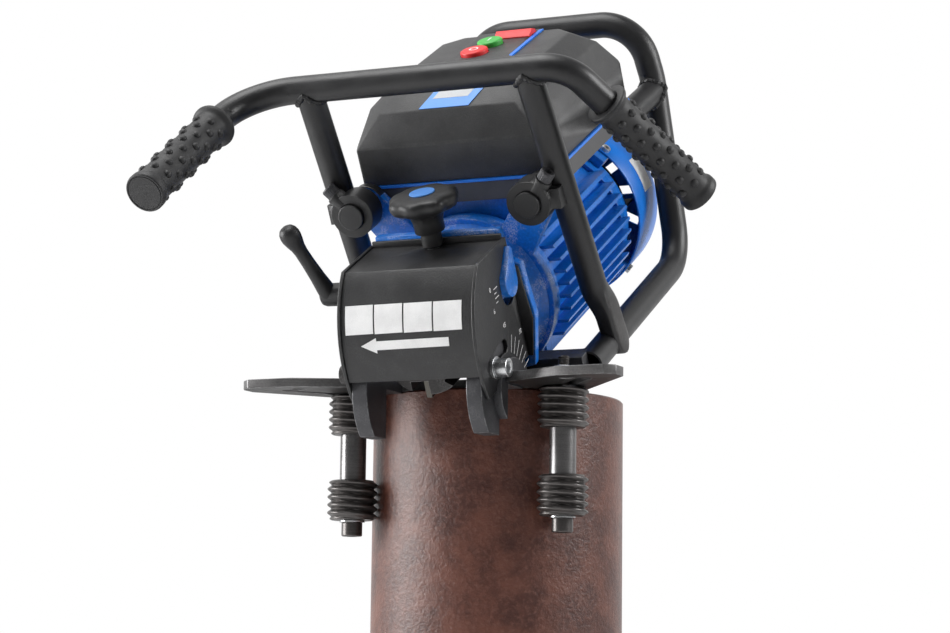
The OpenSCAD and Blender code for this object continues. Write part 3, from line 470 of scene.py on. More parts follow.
def join(parts):
    """One mesh from several, which are used up."""
    whole = bmesh.new()
    for part in parts:
        mesh = bpy.data.meshes.new("part")
        part.to_mesh(mesh)
        part.free()
        whole.from_mesh(mesh)
        bpy.data.meshes.remove(mesh)
    return whole


def soften(work, width, sharp=SHARP):
    """Rounds the sharp outer edges of a mesh and marks the rounded strip for the edge wear."""
    layer = work.faces.layers.float.new("edge")
    picked = [e for e in work.edges if len(e.link_faces) == 2 and e.is_convex
              and e.calc_face_angle() > math.radians(sharp)]
    if width <= 0 or not picked:
        return
    made = bmesh.ops.bevel(work, geom=picked, offset=width * MM, offset_type="OFFSET", segments=2,
                           profile=0.5, affect="EDGES", clamp_overlap=False)
    for face in made["faces"]:
        face[layer] = 1.0


def make_object(name, work, material, sharp):
    """A scene object of a mesh, smooth but for its sharp edges; the mesh is used up."""
    bmesh.ops.recalc_face_normals(work, faces=work.faces)
    for face in work.faces:
        face.smooth = True
    mesh = bpy.data.meshes.new(name)
    work.to_mesh(mesh)
    work.free()
    mesh.set_sharp_from_angle(angle=math.radians(sharp))
    mesh.materials.append(material)
    made = bpy.data.objects.new(name, mesh)
    bpy.context.scene.collection.objects.link(made)
    return made


def add_piece(name, work, material, body, replaces=(), sharp=SHARP):
    """Makes a finished piece of a mesh, riding on a body."""
    if "edge" not in work.faces.layers.float:
        work.faces.layers.float.new("edge")
    made = make_object(name, work, finish(material), sharp)
    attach(made, body)
    if replaces:
        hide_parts(*replaces)
    return made


def plain(work, name, material, node, sharp=SHARP):
    """A piece made in place of a CAD node, on that node's body."""
    return add_piece(name, work, material, frame["nodes"][node]["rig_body"], (node,), sharp)


def dress(node, material, width, split):
    """A copy of a CAD node with merged corners, rounded edges and a finish, in the node's place.

    Faces that run round a hole are split first, where the caller asks for it.
    """
    work = bmesh.new()
    work.from_mesh(frame["nodes"][node].data)
    bmesh.ops.remove_doubles(work, verts=work.verts, dist=2e-6)
    bmesh.ops.dissolve_limit(work, angle_limit=math.radians(0.5), use_dissolve_boundaries=False,
                             verts=work.verts, edges=work.edges)
    if split:
        bmesh.ops.connect_verts_concave(work, faces=work.faces)
    soften(work, width)
    return plain(work, node + "_finished", material, node)


def repaint(piece, material, test):
    """Gives another finish to the faces whose centre and normal pass a test, in head millimetres."""
    piece.data.materials.append(finish(material))
    back = HEAD.inverted()
    for face in piece.data.polygons:
        if test(back @ face.center / MM, back.to_3x3() @ face.normal):
            face.material_index = len(piece.data.materials) - 1


# geometry node trees
def new_tree(name, inputs):
    """A geometry tree with named inputs, its graph, its inputs, and a function that ends it."""
    shape = ("Geometry", "Geometry")
    tree, graph, given, put = new_group("GeometryNodeTree", name, [shape, *inputs, ("Material", "Material")],
                                        [shape])

    def end(geometry):
        real = graph.add("GeometryNodeRealizeInstances", _0=geometry)
        done = graph.add("GeometryNodeSetMaterial", Geometry=real.outputs[0], Material=given["Material"])
        graph.fill(put, _0=done.outputs[0])

    return tree, graph, given, end


def nub_tree():
    """Staggered rows of round nubs on a cylinder along Z."""
    tree, graph, given, end = new_tree("grip_nubs", [
        ("Rows", "Int"), ("Count", "Int"), ("Grip Radius", "Float"), ("First", "Float"),
        ("Pitch", "Float"), ("Nub Radius", "Float"), ("Nub Height", "Float")])
    index = graph.add("GeometryNodeInputIndex").outputs[0]
    count, radius = given["Count"], given["Grip Radius"]
    row = graph.math("FLOOR", graph.math("DIVIDE", index, count))
    place = graph.math("SUBTRACT", index, graph.times(row, count))
    shift = graph.times(graph.math("MODULO", row, 2.0), 0.5)
    angle = graph.times(graph.math("DIVIDE", graph.math("ADD", place, shift), count), math.tau)
    cosine, sine = graph.math("COSINE", angle), graph.math("SINE", angle)
    spot = graph.vector(graph.times(cosine, radius), graph.times(sine, radius),
                        graph.math("ADD", given["First"], graph.times(row, given["Pitch"])))
    points = graph.add("GeometryNodePoints", Count=graph.times(given["Rows"], count), Position=spot)
    dome = graph.add("GeometryNodeMeshUVSphere", Segments=12, Rings=6, Radius=1.0)
    shaped = graph.add("GeometryNodeTransform", Geometry=dome.outputs[0], Scale=graph.vector(
        given["Nub Radius"], given["Nub Radius"], given["Nub Height"]))
    facing = graph.add("FunctionNodeAlignRotationToVector", {"axis": "Z"}, Vector=graph.vector(cosine, sine))
    placed = graph.add("GeometryNodeInstanceOnPoints", Points=points.outputs[0],
                       Instance=shaped.outputs[0], Rotation=facing.outputs[0])
    end(placed.outputs[0])
    return tree


def tick_tree():
    """Scale lines in a fan or a row, every second one shorter."""
    tree, graph, given, end = new_tree("scale_ticks", [
        ("Count", "Int"), ("First Angle", "Float"), ("Step Angle", "Float"), ("Spacing", "Float"),
        ("Start", "Float"), ("Length", "Float"), ("Short", "Float"), ("Width", "Float"), ("Thick", "Float")])
    index = graph.add("GeometryNodeInputIndex").outputs[0]
    angle = graph.math("ADD", given["First Angle"], graph.times(index, given["Step Angle"]))
    odd = graph.math("MODULO", index, 2.0)
    kept = graph.math("SUBTRACT", 1.0, graph.times(odd, given["Short"]))
    reach = graph.math("ADD", given["Start"], graph.times(graph.times(given["Length"], kept), 0.5))
    spot = graph.vector(graph.times(graph.math("COSINE", angle), reach), graph.math(
        "ADD", graph.times(graph.math("SINE", angle), reach), graph.times(index, given["Spacing"])))
    points = graph.add("GeometryNodePoints", Count=given["Count"], Position=spot)
    size = graph.vector(given["Length"], given["Width"], given["Thick"])
    line = graph.add("GeometryNodeMeshCube", Size=size)
    facing = graph.add("FunctionNodeEulerToRotation", _0=graph.vector(z=angle))
    placed = graph.add("GeometryNodeInstanceOnPoints", Points=points.outputs[0], Instance=line.outputs[0],
                       Rotation=facing.outputs[0], Scale=graph.vector(kept, 1.0, 1.0))
    end(placed.outputs[0])
    return tree


def screw_tree():
    """A screw head on each point, standing along the point's 'out' direction."""
    tree, graph, given, end = new_tree("socket_screws", [("Head", "Object")])
    head = graph.add("GeometryNodeObjectInfo", _0=given["Head"])
    out = graph.add("GeometryNodeInputNamedAttribute", {"data_type": "FLOAT_VECTOR"}, Name="out")
    facing = graph.add("FunctionNodeAlignRotationToVector", {"axis": "Z"}, Vector=out.outputs[0])
    placed = graph.add("GeometryNodeInstanceOnPoints", Points=given["Geometry"],
                       Instance=head.outputs["Geometry"], Rotation=facing.outputs[0])
    end(placed.outputs[0])
    return tree


def evaluated(holder):
    """The mesh that an object gives after its modifiers; the object is used up."""
    bpy.context.scene.collection.objects.link(holder)
    bpy.context.view_layer.update()
    made = bpy.data.meshes.new_from_object(holder.evaluated_get(bpy.context.evaluated_depsgraph_get()))
    bpy.data.objects.remove(holder)
    work = bmesh.new()
    work.from_mesh(made)
    bpy.data.meshes.remove(made)
    return work


def grow(tree, values, mesh=None):
    """The plain mesh that a geometry tree makes, with its inputs given by name."""
    holder = bpy.data.objects.new("grower", mesh or bpy.data.meshes.new("grower"))
    modifier = holder.modifiers.new("Grow", "NODES")
    modifier.node_group = tree
    for item in tree.interface.items_tree:
        if item.in_out == "INPUT" and item.name in values:
            modifier[item.identifier] = values[item.name]
    return evaluated(holder)


# pieces
def helical_roller(high):
    """A guide roller with one left-hand rounded rib, its top face at a height in millimetres."""
    s = sizes()
    turns, rows, sides, bore, runout = 5, 10, 64, 5.4, 0.45  # the rib fades over the runout, in turns
    work = bmesh.new()

    def ribbed(drop, fade):
        def place(turn):
            phase = (drop - turn / math.tau) % 1.0
            rib = (0.5 - 0.5 * math.cos(math.tau * phase)) ** 0.75 * fade * (2 - fade)
            return polar(s.rib_root + (s.rib_crest - s.rib_root) * rib, turn, high - drop * s.rib_pitch)
        return place

    rings = []
    for step in range(turns * rows + 1):
        drop = step / rows
        rings.append(ring(work, sides, ribbed(drop, min(1.0, min(drop, turns - drop) / runout))))
    for height in (high - turns * s.rib_pitch, high):
        rings.append(ring(work, sides, lambda turn: polar(bore, turn, height)))
    bridge(work, rings, True)
    return work


def saddle(start, end, line_a, line_b):
    """The loop where a tube from start to end meets a like tube along a line, in head millimetres."""
    start, end, line_a, line_b = (Vector(p) for p in (start, end, line_a, line_b))
    d = (end - start).normalized()
    e1 = d.orthogonal().normalized()
    e2 = d.cross(e1)
    axis = (line_b - line_a).normalized()
    loop, count = [], 56
    for i in range(count):
        turn = math.tau * i / count
        foot = start + (e1 * math.cos(turn) + e2 * math.sin(turn)) * TUBE_R - line_a
        p = foot - axis * foot.dot(axis)
        q = d - axis * d.dot(axis)
        a, b, c = q.dot(q), 2 * p.dot(q), p.dot(p) - TUBE_R ** 2
        root = math.sqrt(max(0.0, b * b - 4 * a * c))
        loop.append(foot + line_a + d * ((-b + root) / (2 * a)))
    return loop


def bead_along(loop):
    """A lumpy weld bead along a loop of head points in millimetres."""
    lumps = [1 + 0.16 * math.sin(i * 2.7) + 0.10 * math.sin(i * 1.13) for i in range(len(loop))]
    return sweep(head_points(loop), [sizes().bead * lump for lump in lumps])


def mirrored(point):
    """The same point on the other side."""
    return (-point[0], point[1], point[2])


def screw_head(radius, height, hexagon):
    """A knurled socket screw head along Z, from sizes in millimetres."""
    work = bmesh.new()
    sides, chamfer, depth, notch = 48, 0.12 * height, 0.62 * height, 0.04 * radius

    def knurled(turn):
        return radius - notch * (round(turn / math.tau * sides) % 2)

    foot = ring(work, sides, lambda turn: polar(knurled(turn), turn, 0))
    side = ring(work, sides, lambda turn: polar(knurled(turn), turn, height - chamfer))
    rim = ring(work, sides, lambda turn: polar(radius - chamfer, turn, height))
    lip, floor = (ring(work, 6, lambda turn: polar(hexagon, turn, z)) for z in (height, height - depth))
    work.faces.new(foot[::-1])
    bridge(work, [foot, side, rim])
    bridge(work, [lip, floor])
    work.faces.new(floor)
    step = sides // 6
    for i in range(6):
        outer = [rim[(i * step + k) % sides] for k in range(step + 1)]
        work.faces.new([*outer, lip[(i + 1) % 6], lip[i]])
    bmesh.ops.recalc_face_normals(work, faces=work.faces)
    mesh = bpy.data.meshes.new("screw_head")
    work.to_mesh(mesh)
    work.free()
    return bpy.data.objects.new("screw_head", mesh)


def screws(name, spots, head, node, material):
    """Socket screws at (point, direction) pairs in head millimetres, in place of a CAD node."""
    mesh = bpy.data.meshes.new("spots")
    mesh.from_pydata(head_points([spot for spot, way in spots]), [], [])
    out = mesh.attributes.new("out", "FLOAT_VECTOR", "POINT")
    for i, (spot, way) in enumerate(spots):
        out.data[i].vector = (HEAD.to_3x3() @ Vector(way)).normalized()
    plain(grow(screw_tree(), {"Head": head, "Material": finish(material)}, mesh), name, material, node)


def front_point(x, degrees, lift=0.0):
    """A point on the guard's round front, in head millimetres."""
    turn = math.radians(degrees)
    return (x, FRONT_A + (FRONT_R + lift) * math.cos(turn), FRONT_N + (FRONT_R + lift) * math.sin(turn))


def cowl_point(a, degrees, lift=0.0):
    """A point on the fan cowl's round wall, in head millimetres."""
    return Vector((0, a, MOTOR_N)) + radial(degrees) * (COWL_R + lift)


def slope_point(x, share, lift=0.0):
    """A point on the cover's front slope, a share of the way up it, in head millimetres."""
    low, high = Vector(SLOPE_LOW), Vector(SLOPE_HIGH)
    along = high - low
    spot = low + along * share + Vector((-along.y, along.x)).normalized() * lift
    return (x, spot.x, spot.y)


def patch(strips, point=front_point, lift=0.35):
    """A thin raised plate on a face: strips of (along, low, high), in order."""
    work = bmesh.new()
    fine, sunk = 8, -0.2

    def rim(rows):
        return rows[0] + [r[-1] for r in rows[1:-1]] + rows[-1][::-1] + [r[0] for r in rows[-2:0:-1]]

    layers = []
    for height in (lift, sunk):
        rows = [[work.verts.new(p) for p in head_points(
            [point(along, low + (high - low) * k / fine, height) for k in range(fine + 1)])]
            for along, low, high in strips]
        for a, b in zip(rows, rows[1:]):
            for k in range(fine):
                corners = [a[k], b[k], b[k + 1], a[k + 1]]
                work.faces.new(corners if height == lift else corners[::-1])
        layers.append(rim(rows))
    bridge(work, layers)
    return work


def text_mesh(words, matrix):
    """Generic scale figures as a mesh, placed by a matrix."""
    curve = bpy.data.curves.new("figures", "FONT")
    curve.body, curve.size, curve.extrude = words, FIGURE_H * MM, MARK_T * MM / 2
    curve.align_x, curve.align_y = "CENTER", "CENTER"
    work = evaluated(bpy.data.objects.new("figures", curve))
    work.transform(matrix)
    return work


def cheek_plane(a, n):
    """A matrix on the right cheek's outer face: X along the head, Y up it, Z outwards."""
    return head_place(CHEEK_X, a, n) @ SIDEWAYS


# CAD nodes that are dressed as they are: finish, width of the rounded edges in millimetres, nodes
DRESSED = {
    "table": (("oxide_steel", 0.6, "base_plate"), ("oxide_steel", 0.7, "left_arm", "right_arm"),
              ("shoe_steel", 0.7, "left_shoe", "right_shoe"),
              ("spindle_steel", 0.5, "left_sleeve", "right_sleeve")),
    "guard": (("guard_coat", 0.5, "guard_cover"), ("guard_coat", 0.6, "left_cheek", "right_cheek"),
              ("pale_plastic", 0.4, "knob_cap")),
    "castings": (("neck_paint", 0.8, "spindle_housing"), ("powder_coat", 0.8, "frame_bracket"),
                 ("cast_paint", 0.5, "motor_housing"), ("cast_paint", 0.6, "rear_shield"),
                 ("cowl_paint", 0.7, "fan_cowl")),
    "switch_box": (("base_plastic", 0.6, "box_base"), ("blue_moulding", 0.5, "box_gasket"),
                   ("cover_plastic", 1.6, "box_cover"), ("cover_plastic", 0.4, "switch_plate")),
    "tubes": (("powder_coat", 0.0, "handlebar", "left_rail", "right_rail", "rear_hoop", "rail_stubs"),
              ("powder_coat", 0.6, "left_clamp", "right_clamp"), ("powder_coat", 0.8, "clamp_pins"),
              ("shoe_steel", 0.6, "rail_lugs")),
    "hardware": (("zinc_plate", 0.4, "bevel_screws"), ("zinc_plate", 0.3, "bevel_washers"),
                 ("zinc_plate", 0.4, "roller_nuts"), ("zinc_plate", 0.3, "roller_washers"),
                 ("ground_steel", 0.3, "depth_spindle"), ("zinc_plate", 0.3, "lever_stud"),
                 ("ground_steel", 0.4, "shaft_bearings"), ("roller_steel", 0.4, "stator_core"),
                 ("ground_steel", 0.4, "motor_shaft"), ("roller_steel", 0.4, "rotor_core"),
                 # the dark oxide of the cutter head and the dark inserts are partly their own steel and
                 # carbide, partly painted shade under the guard
                 ("knob_plastic", 0.4, "cooling_fan"), ("oxide_steel", 0.5, "cutter_head"),
                 ("hard_metal", 0.2, "cutter_inserts")),
}


def dress_group(group):
    """Dresses every CAD node of one group, and gives the pieces by node."""
    return {node: dress(node, material, width, group == "switch_box")
            for material, width, *nodes in DRESSED[group] for node in nodes}


def upright(node, build):
    """A mesh built between the heights of a node's box, in millimetres, and set on the box's middle."""
    low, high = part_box(node)
    work = build(low.z / MM, high.z / MM)
    work.transform(Matrix.Translation(((low.x + high.x) / 2, (low.y + high.y) / 2, 0)))
    return work


def roller_bolt(low, high):
    """A roller bolt between two heights in millimetres, with a round socket head and a threaded top."""
    shank, root, pitch, first = 4.95, 4.3, 1.5, 8.3
    rows = [(0, 6), (4.2, 6), (4.2, 0), (8.2, 0), (9, 0.8), (9, 11.2), (8.4, 12), (shank, 12)]
    rows = [(radius, low + height) for radius, height in rows] + [(shank, first - 0.3)]
    for i in range(int((high - first - 0.7) / pitch)):
        rows += [(shank, first + pitch * i), (root, first + 0.7 + pitch * i)]
    return lathe([*rows, (4.9, high - 1.0), (4.2, high), (0, high)], 32)


def lobed_knob():
    """The depth knob along Z, from the guard's top: stem, waist and a domed grip with eight lobes."""
    lobes, sides = 8, 96
    rows = ((0, 119, 0), (8.2, 119, 0), (9, 120, 0), (9, 131, 0), (12.4, 132, 0), (13, 133, 0),
            (13.1, 141, 0), (15, 147, 0), (19, 150.0, 0.8), (24.6, 151.4, 1.6), (28.6, 153.6, 2.4),
            (30.4, 156.8, 2.6), (30.8, 160, 2.6), (30.0, 162.8, 2.4), (27.4, 164.9, 1.8), (22, 165.8, 0.8),
            (11.2, 166, 0), (0, 166, 0))  # radius, height, depth between the lobes
    work = bmesh.new()
    rings = [ring(work, sides if radius else 1, lambda turn: polar(
        radius - notch * (0.5 - 0.5 * math.cos(lobes * turn)) ** 1.6, turn, height))
        for radius, height, notch in rows]
    bridge(work, rings)
    work.transform(head_place(0, KNOB_A, 0))
    return work


def clamp_handle():
    """The clamp lever: a hub over its stud and a tapered handle that swells at the end."""
    hub = lathe(((0, 19.5), (5.5, 19.5), (5.5, 0), (8.8, 0), (9.6, 1), (9.9, 12), (10, 22), (9.8, 31),
                 (8.8, 34), (6.6, 35.6), (0, 36)))
    hub.transform(head_along(LEVER_HUB, (-1, 0, 0)))
    root, tip = (Vector(p) for p in LEVER_ARM)
    arm = lathe(((0, 0), (8.0, 0), (7.6, 8), (6.6, 20), (5.9, 36), (5.8, 48), (6.4, 54), (7.8, 59),
                 (8.8, 64), (8.9, 67.5), (8.2, 71), (6.4, 73.8), (3.6, 75.4), (0, 75.9)), 32)
    arm.transform(head_along(root, tip - root))
    return join([hub, arm])


def flattened_strut(side):
    """A strut of the handle frame whose low end is pressed flat on the outer side of the rail."""
    top, low = (Vector(p) for p in STRUT)
    way = (low - top).normalized()
    out = (Vector((1, 0, 0)) - way * way.x).normalized()
    across = way.cross(out)
    long, short, thin, broad, shift = 58, 28, 4, 1.2, 5.6  # where it flattens, and by how much
    nose = 12.6  # length of the rounded end
    work = bmesh.new()

    def section(rest):
        flat = min(1.0, max(0.0, (long - rest) / (long - short)))
        flat = flat * flat * (3 - 2 * flat)
        thick, wide, power = TUBE_R - thin * flat, TUBE_R + broad * flat, 2 + 4 * flat
        if rest < 0:
            wide *= math.sqrt(max(0.03, 1 - (rest / nose) ** 2))

        def place(turn):
            cosine, sine = math.cos(turn), math.sin(turn)
            x = math.copysign(abs(cosine) ** (2 / power), cosine) * thick + shift * flat
            y = math.copysign(abs(sine) ** (2 / power), sine) * wide
            return head_points([side(low - way * rest + out * x + across * y)])[0]

        return ring(work, SIDES, place)

    rings = [section(rest) for rest in [(low - top).length - 2, 150, 90, *range(60, 8, -4),
                                        6, 0, -4, -7, -9.5, -11.2, -12.2]]
    bridge(work, rings)
    work.faces.new(rings[0])
    work.faces.new(rings[-1])
    return work


# operators, one for each group of pieces
class BEVELER_OT_table(bpy.types.Operator):
    """Finish the table, the swivel shoes and the roller spindles"""
    bl_idname = "beveler.table"
    bl_label = "Table"

    def execute(self, context):
        pieces = dress_group("table")
        steep = 0.4  # the cut sides of the plates face up or down by less than this
        for node in ("left_arm", "right_arm", "base_plate"):
            repaint(pieces[node], "cut_steel", lambda centre, normal: abs((HEAD.to_3x3() @ normal).z) < steep)
        for node in ("left_roller_bolt", "right_roller_bolt"):
            plain(upright(node, roller_bolt), node + "_threaded", "roller_steel", node)
        return {"FINISHED"}


class BEVELER_OT_guard(bpy.types.Operator):
    """Finish the guard, the depth knob and the clamp lever"""
    bl_idname = "beveler.guard"
    bl_label = "Guard"

    def execute(self, context):
        dress_group("guard")
        plain(lobed_knob(), "depth_knob_lobed", "knob_plastic", "depth_knob", 35)
        plain(clamp_handle(), "clamp_handle", "knob_plastic", "clamp_lever", 35)
        return {"FINISHED"}


class BEVELER_OT_castings(bpy.types.Operator):
    """Finish the blue castings and the fan cowl"""
    bl_idname = "beveler.castings"
    bl_label = "Castings"

    def execute(self, context):
        pieces = dress_group("castings")
        repaint(pieces["frame_bracket"], "neck_paint",
                lambda centre, normal: math.hypot(abs(centre.x) - PIN[0], centre.z - PIN[2]) > PIN_EYE_R)
        return {"FINISHED"}


class BEVELER_OT_switch_box(bpy.types.Operator):
    """Finish the switch box, with generic on and off marks"""
    bl_idname = "beveler.switch_box"
    bl_label = "Switch box"

    def execute(self, context):
        dress_group("switch_box")
        outer, inner = (((x0, a0), (x1, a0), (x1, a1), (x0, a1)) for x0, a0, x1, a1 in (RIM_OUT, RIM_IN))
        strips = [slab((outer[i], outer[i - 3], inner[i - 3], inner[i]), RIM_H, head_place(0, 0, BOX_TOP))
                  for i in range(4)]
        rim = plain(join(strips), "switch_rim", "cover_plastic", "switch_bezel")
        blue_from = 20
        repaint(rim, "blue_moulding", lambda centre, normal: centre.x > blue_from)
        for node, spot, radius, material in (("stop_button", STOP, STOP_R, "red_moulding"),
                                             ("start_button", START, START_R, "green_moulding")):
            low = BOX_TOP - BUTTON_SINK - spot[2]
            work = lathe(((0, low), (radius, low), (radius, -1.6), (radius - 0.5, -0.6), (radius - 1.6, 0),
                          (radius - 4, 0.15), (0, 0.2)))
            work.transform(head_place(*spot))
            plain(work, node + "_moulded", material, node)
        flap = slab(FLAP_SIDE, FLAP_W, head_place(FLAP_X, 0, 0) @ SIDEWAYS)
        soften(flap, FLAP_ROUND, 40)
        plain(flap, "stop_flap_moulded", "red_moulding", "stop_flap")
        off_mark = lathe(((3.1, 0.1), (4.3, 0.1), (4.3, 0.4), (3.1, 0.4)), 32, True)
        off_mark.transform(head_place(*STOP))
        add_piece("off_mark", off_mark, "mark_paint", "stop")
        on_mark = slab(((-0.65, -4), (0.65, -4), (0.65, 4), (-0.65, 4)), 0.4,
                       head_place(*START) @ Matrix.Rotation(math.radians(-4), 4, "Z"))
        add_piece("on_mark", on_mark, "mark_paint", "start")
        return {"FINISHED"}


class BEVELER_OT_tubes(bpy.types.Operator):
    """Finish the handle frame and lay its weld beads"""
    bl_idname = "beveler.tubes"
    bl_label = "Handle frame"

    def execute(self, context):
        dress_group("tubes")
        flat, worn_to = 0.93, 36  # the pressed flats are bare up to this height
        middle = tuple((a + b) / 2 for a, b in zip(*STRUT))
        joints = ((middle, STRUT[0], BAR[1], BAR[2]), (STUB[0], STUB[1], RAIL[1], RAIL[2]))
        for side, turn in (("right", tuple), ("left", mirrored)):
            node = side + "_strut"
            strut = plain(flattened_strut(turn), node + "_flattened", "powder_coat", node, 50)
            repaint(strut, "oxide_steel", lambda centre, normal: abs(normal.x) > flat and centre.z < worn_to)
            beads = []
            for start, end, line_a, line_b in joints:
                back = Vector(start) * 2 - Vector(end)
                beads.append(bead_along(saddle(*(turn(p) for p in (end, back, line_a, line_b)))))
            add_piece(side + "_welds", join(beads), "powder_coat", "head")
        return {"FINISHED"}


class BEVELER_OT_hardware(bpy.types.Operator):
    """Finish the fasteners and the spinning set, with socket screws on the clamps and the cowl"""
    bl_idname = "beveler.hardware"
    bl_label = "Hardware"

    def execute(self, context):
        pieces = dress_group("hardware")
        repaint(pieces["bevel_screws"], "oxide_steel", lambda centre, normal: centre.x < 0)
        way = radial(40)
        base = Vector(PIN) + way * CLAMP_SCREW_R
        screws("clamp_screw_heads", ((base, way), (mirrored(base), mirrored(way))),
               screw_head(6.5, 9.0, 3.5), "clamp_screws", "shoe_steel")
        spots = [(cowl_point(COWL_SCREW_A, turn), radial(turn)) for turn in (45, 135, 225, 315)]
        screws("cowl_screw_heads", spots, screw_head(4.5, 3.0, 2.3), "cowl_screws", "zinc_plate")
        return {"FINISHED"}


class BEVELER_OT_rollers(bpy.types.Operator):
    """Make the four guide rollers with their helical ribs"""
    bl_idname = "beveler.rollers"
    bl_label = "Guide rollers"

    def execute(self, context):
        for side in ("left", "right"):
            for level in ("upper", "lower"):
                node = side + "_" + level + "_roller"
                work = upright(node, lambda low, high: helical_roller(high))
                plain(work, node + "_ribbed", "roller_steel", node, 60)
        return {"FINISHED"}


class BEVELER_OT_grips(bpy.types.Operator):
    """Make the rubber grips with staggered rows of nubs"""
    bl_idname = "beveler.grips"
    bl_label = "Grips"

    def execute(self, context):
        s = sizes()
        profile = ((0, GRIP_SEAT), (12.05, GRIP_SEAT), (12.05, 0.6), (12.6, 0), (18.5, 0), (19.1, 0.5),
                   (19.3, 1.4), (19.2, 3.0), (18.4, 4.4), (16.8, 5.8), (15.6, 7.6), (GRIP_R, 10),
                   (GRIP_R, 113.5), (15.6, 115.2), (16.6, 116.8), (17.3, 118.4), (17.4, 120.4), (17.4, 123.4),
                   (17.1, 124.4), (16.4, GRIP_LEN), (15.5, GRIP_LEN), (15.2, 124.5), (14.8, 124.5),
                   (14.5, GRIP_LEN), (0, GRIP_LEN))
        tree = nub_tree()
        for side, bend, end in (("left", BAR[1], BAR[0]), ("right", BAR[2], BAR[3])):
            way = (Vector(end) - Vector(bend)).normalized()
            nubs = grow(tree, {"Rows": s.nub_rows, "Count": s.nub_count, "Grip Radius": NUB_SEAT * MM,
                               "First": NUB_FIRST * MM, "Pitch": NUB_PITCH * MM,
                               "Nub Radius": s.nub_radius * MM, "Nub Height": s.nub_height * MM,
                               "Material": finish("soft_rubber")})
            work = join([lathe(profile), nubs])
            work.transform(head_along(Vector(end) - way * GRIP_SEAT, way))
            plain(work, side + "_grip_rubber", "soft_rubber", side + "_grip", 40)
        return {"FINISHED"}


class BEVELER_OT_plates(bpy.types.Operator):
    """Put plain plates and the turning arrow on the guard, the cover and the cowl"""
    bl_idname = "beveler.plates"
    bl_label = "Plates"

    def execute(self, context):
        first, step, width = -55.8, 27.0, 25.6
        lefts = [first + i * step for i in range(4)]
        signs = [patch(((left, 147.0, 161.2), (left + width, 146.9, 161.0))) for left in lefts]
        arrow = [patch(((-42.3, 166.8, 166.9), (-28.2, 163.1, 170.6))),
                 patch(((-28.2, 164.7, 169.0), (38.0, 164.3, 168.6)))]
        badge = patch(((-26, 0.02, 0.03), (-10.4, 0.02, 0.96), (20.7, 0.02, 0.96), (36.3, 0.95, 0.96)),
                      slope_point)
        panel = patch(((-15, 0.36, 0.37), (-8.4, 0.36, 0.76), (18, 0.36, 0.76), (24.6, 0.75, 0.76)),
                      slope_point, 0.5)
        rating = patch(((331, 61, 84), (349, 61, 84)), cowl_point)
        add_piece("sign_plates", join(signs), "mark_paint", "guard")
        add_piece("turning_arrow", join(arrow), "mark_paint", "guard")
        add_piece("cover_badge", badge, "pale_plastic", "head")
        add_piece("badge_panel", panel, "silver_print", "head")
        add_piece("cowl_plate", rating, "mark_paint", "head")
        return {"FINISHED"}


class BEVELER_OT_scales(bpy.types.Operator):
    """Put the angle scale and the depth scale on the right cheek"""
    bl_idname = "beveler.scales"
    bl_label = "Scales"

    def execute(self, context):
        tree = tick_tree()
        common = {"Width": sizes().tick_width * MM, "Thick": MARK_T * MM, "Material": finish("mark_paint")}
        fan = grow(tree, {"Count": 6, "First Angle": math.radians(12), "Step Angle": math.radians(9.8),
                          "Start": 33 * MM, "Length": 15 * MM, **common})
        fan.transform(cheek_plane(0, 0))
        row = grow(tree, {"Count": 4, "Spacing": -4 * MM, "Length": 8 * MM, "Short": 0.45, **common})
        row.transform(cheek_plane(7, 89))
        figures = [text_mesh("0", cheek_plane(0, 91)), text_mesh("6", cheek_plane(0, 72))]
        reach = 56
        for words, degrees in (("45", 76), ("30", 42), ("0", 10)):
            turn = math.radians(degrees)
            figures.append(text_mesh(words, cheek_plane(reach * math.cos(turn), reach * math.sin(turn))))
        add_piece("scale_lines", join([fan, row, *figures]), "mark_paint", "guard")
        return {"FINISHED"}


def stage_material(name, build):
    """A material for the stage, built by a function of its graph and shader."""
    material = bpy.data.materials.new(name)
    material.use_nodes = True
    build(Graph(material.node_tree), material.node_tree.nodes["Principled BSDF"])
    return material


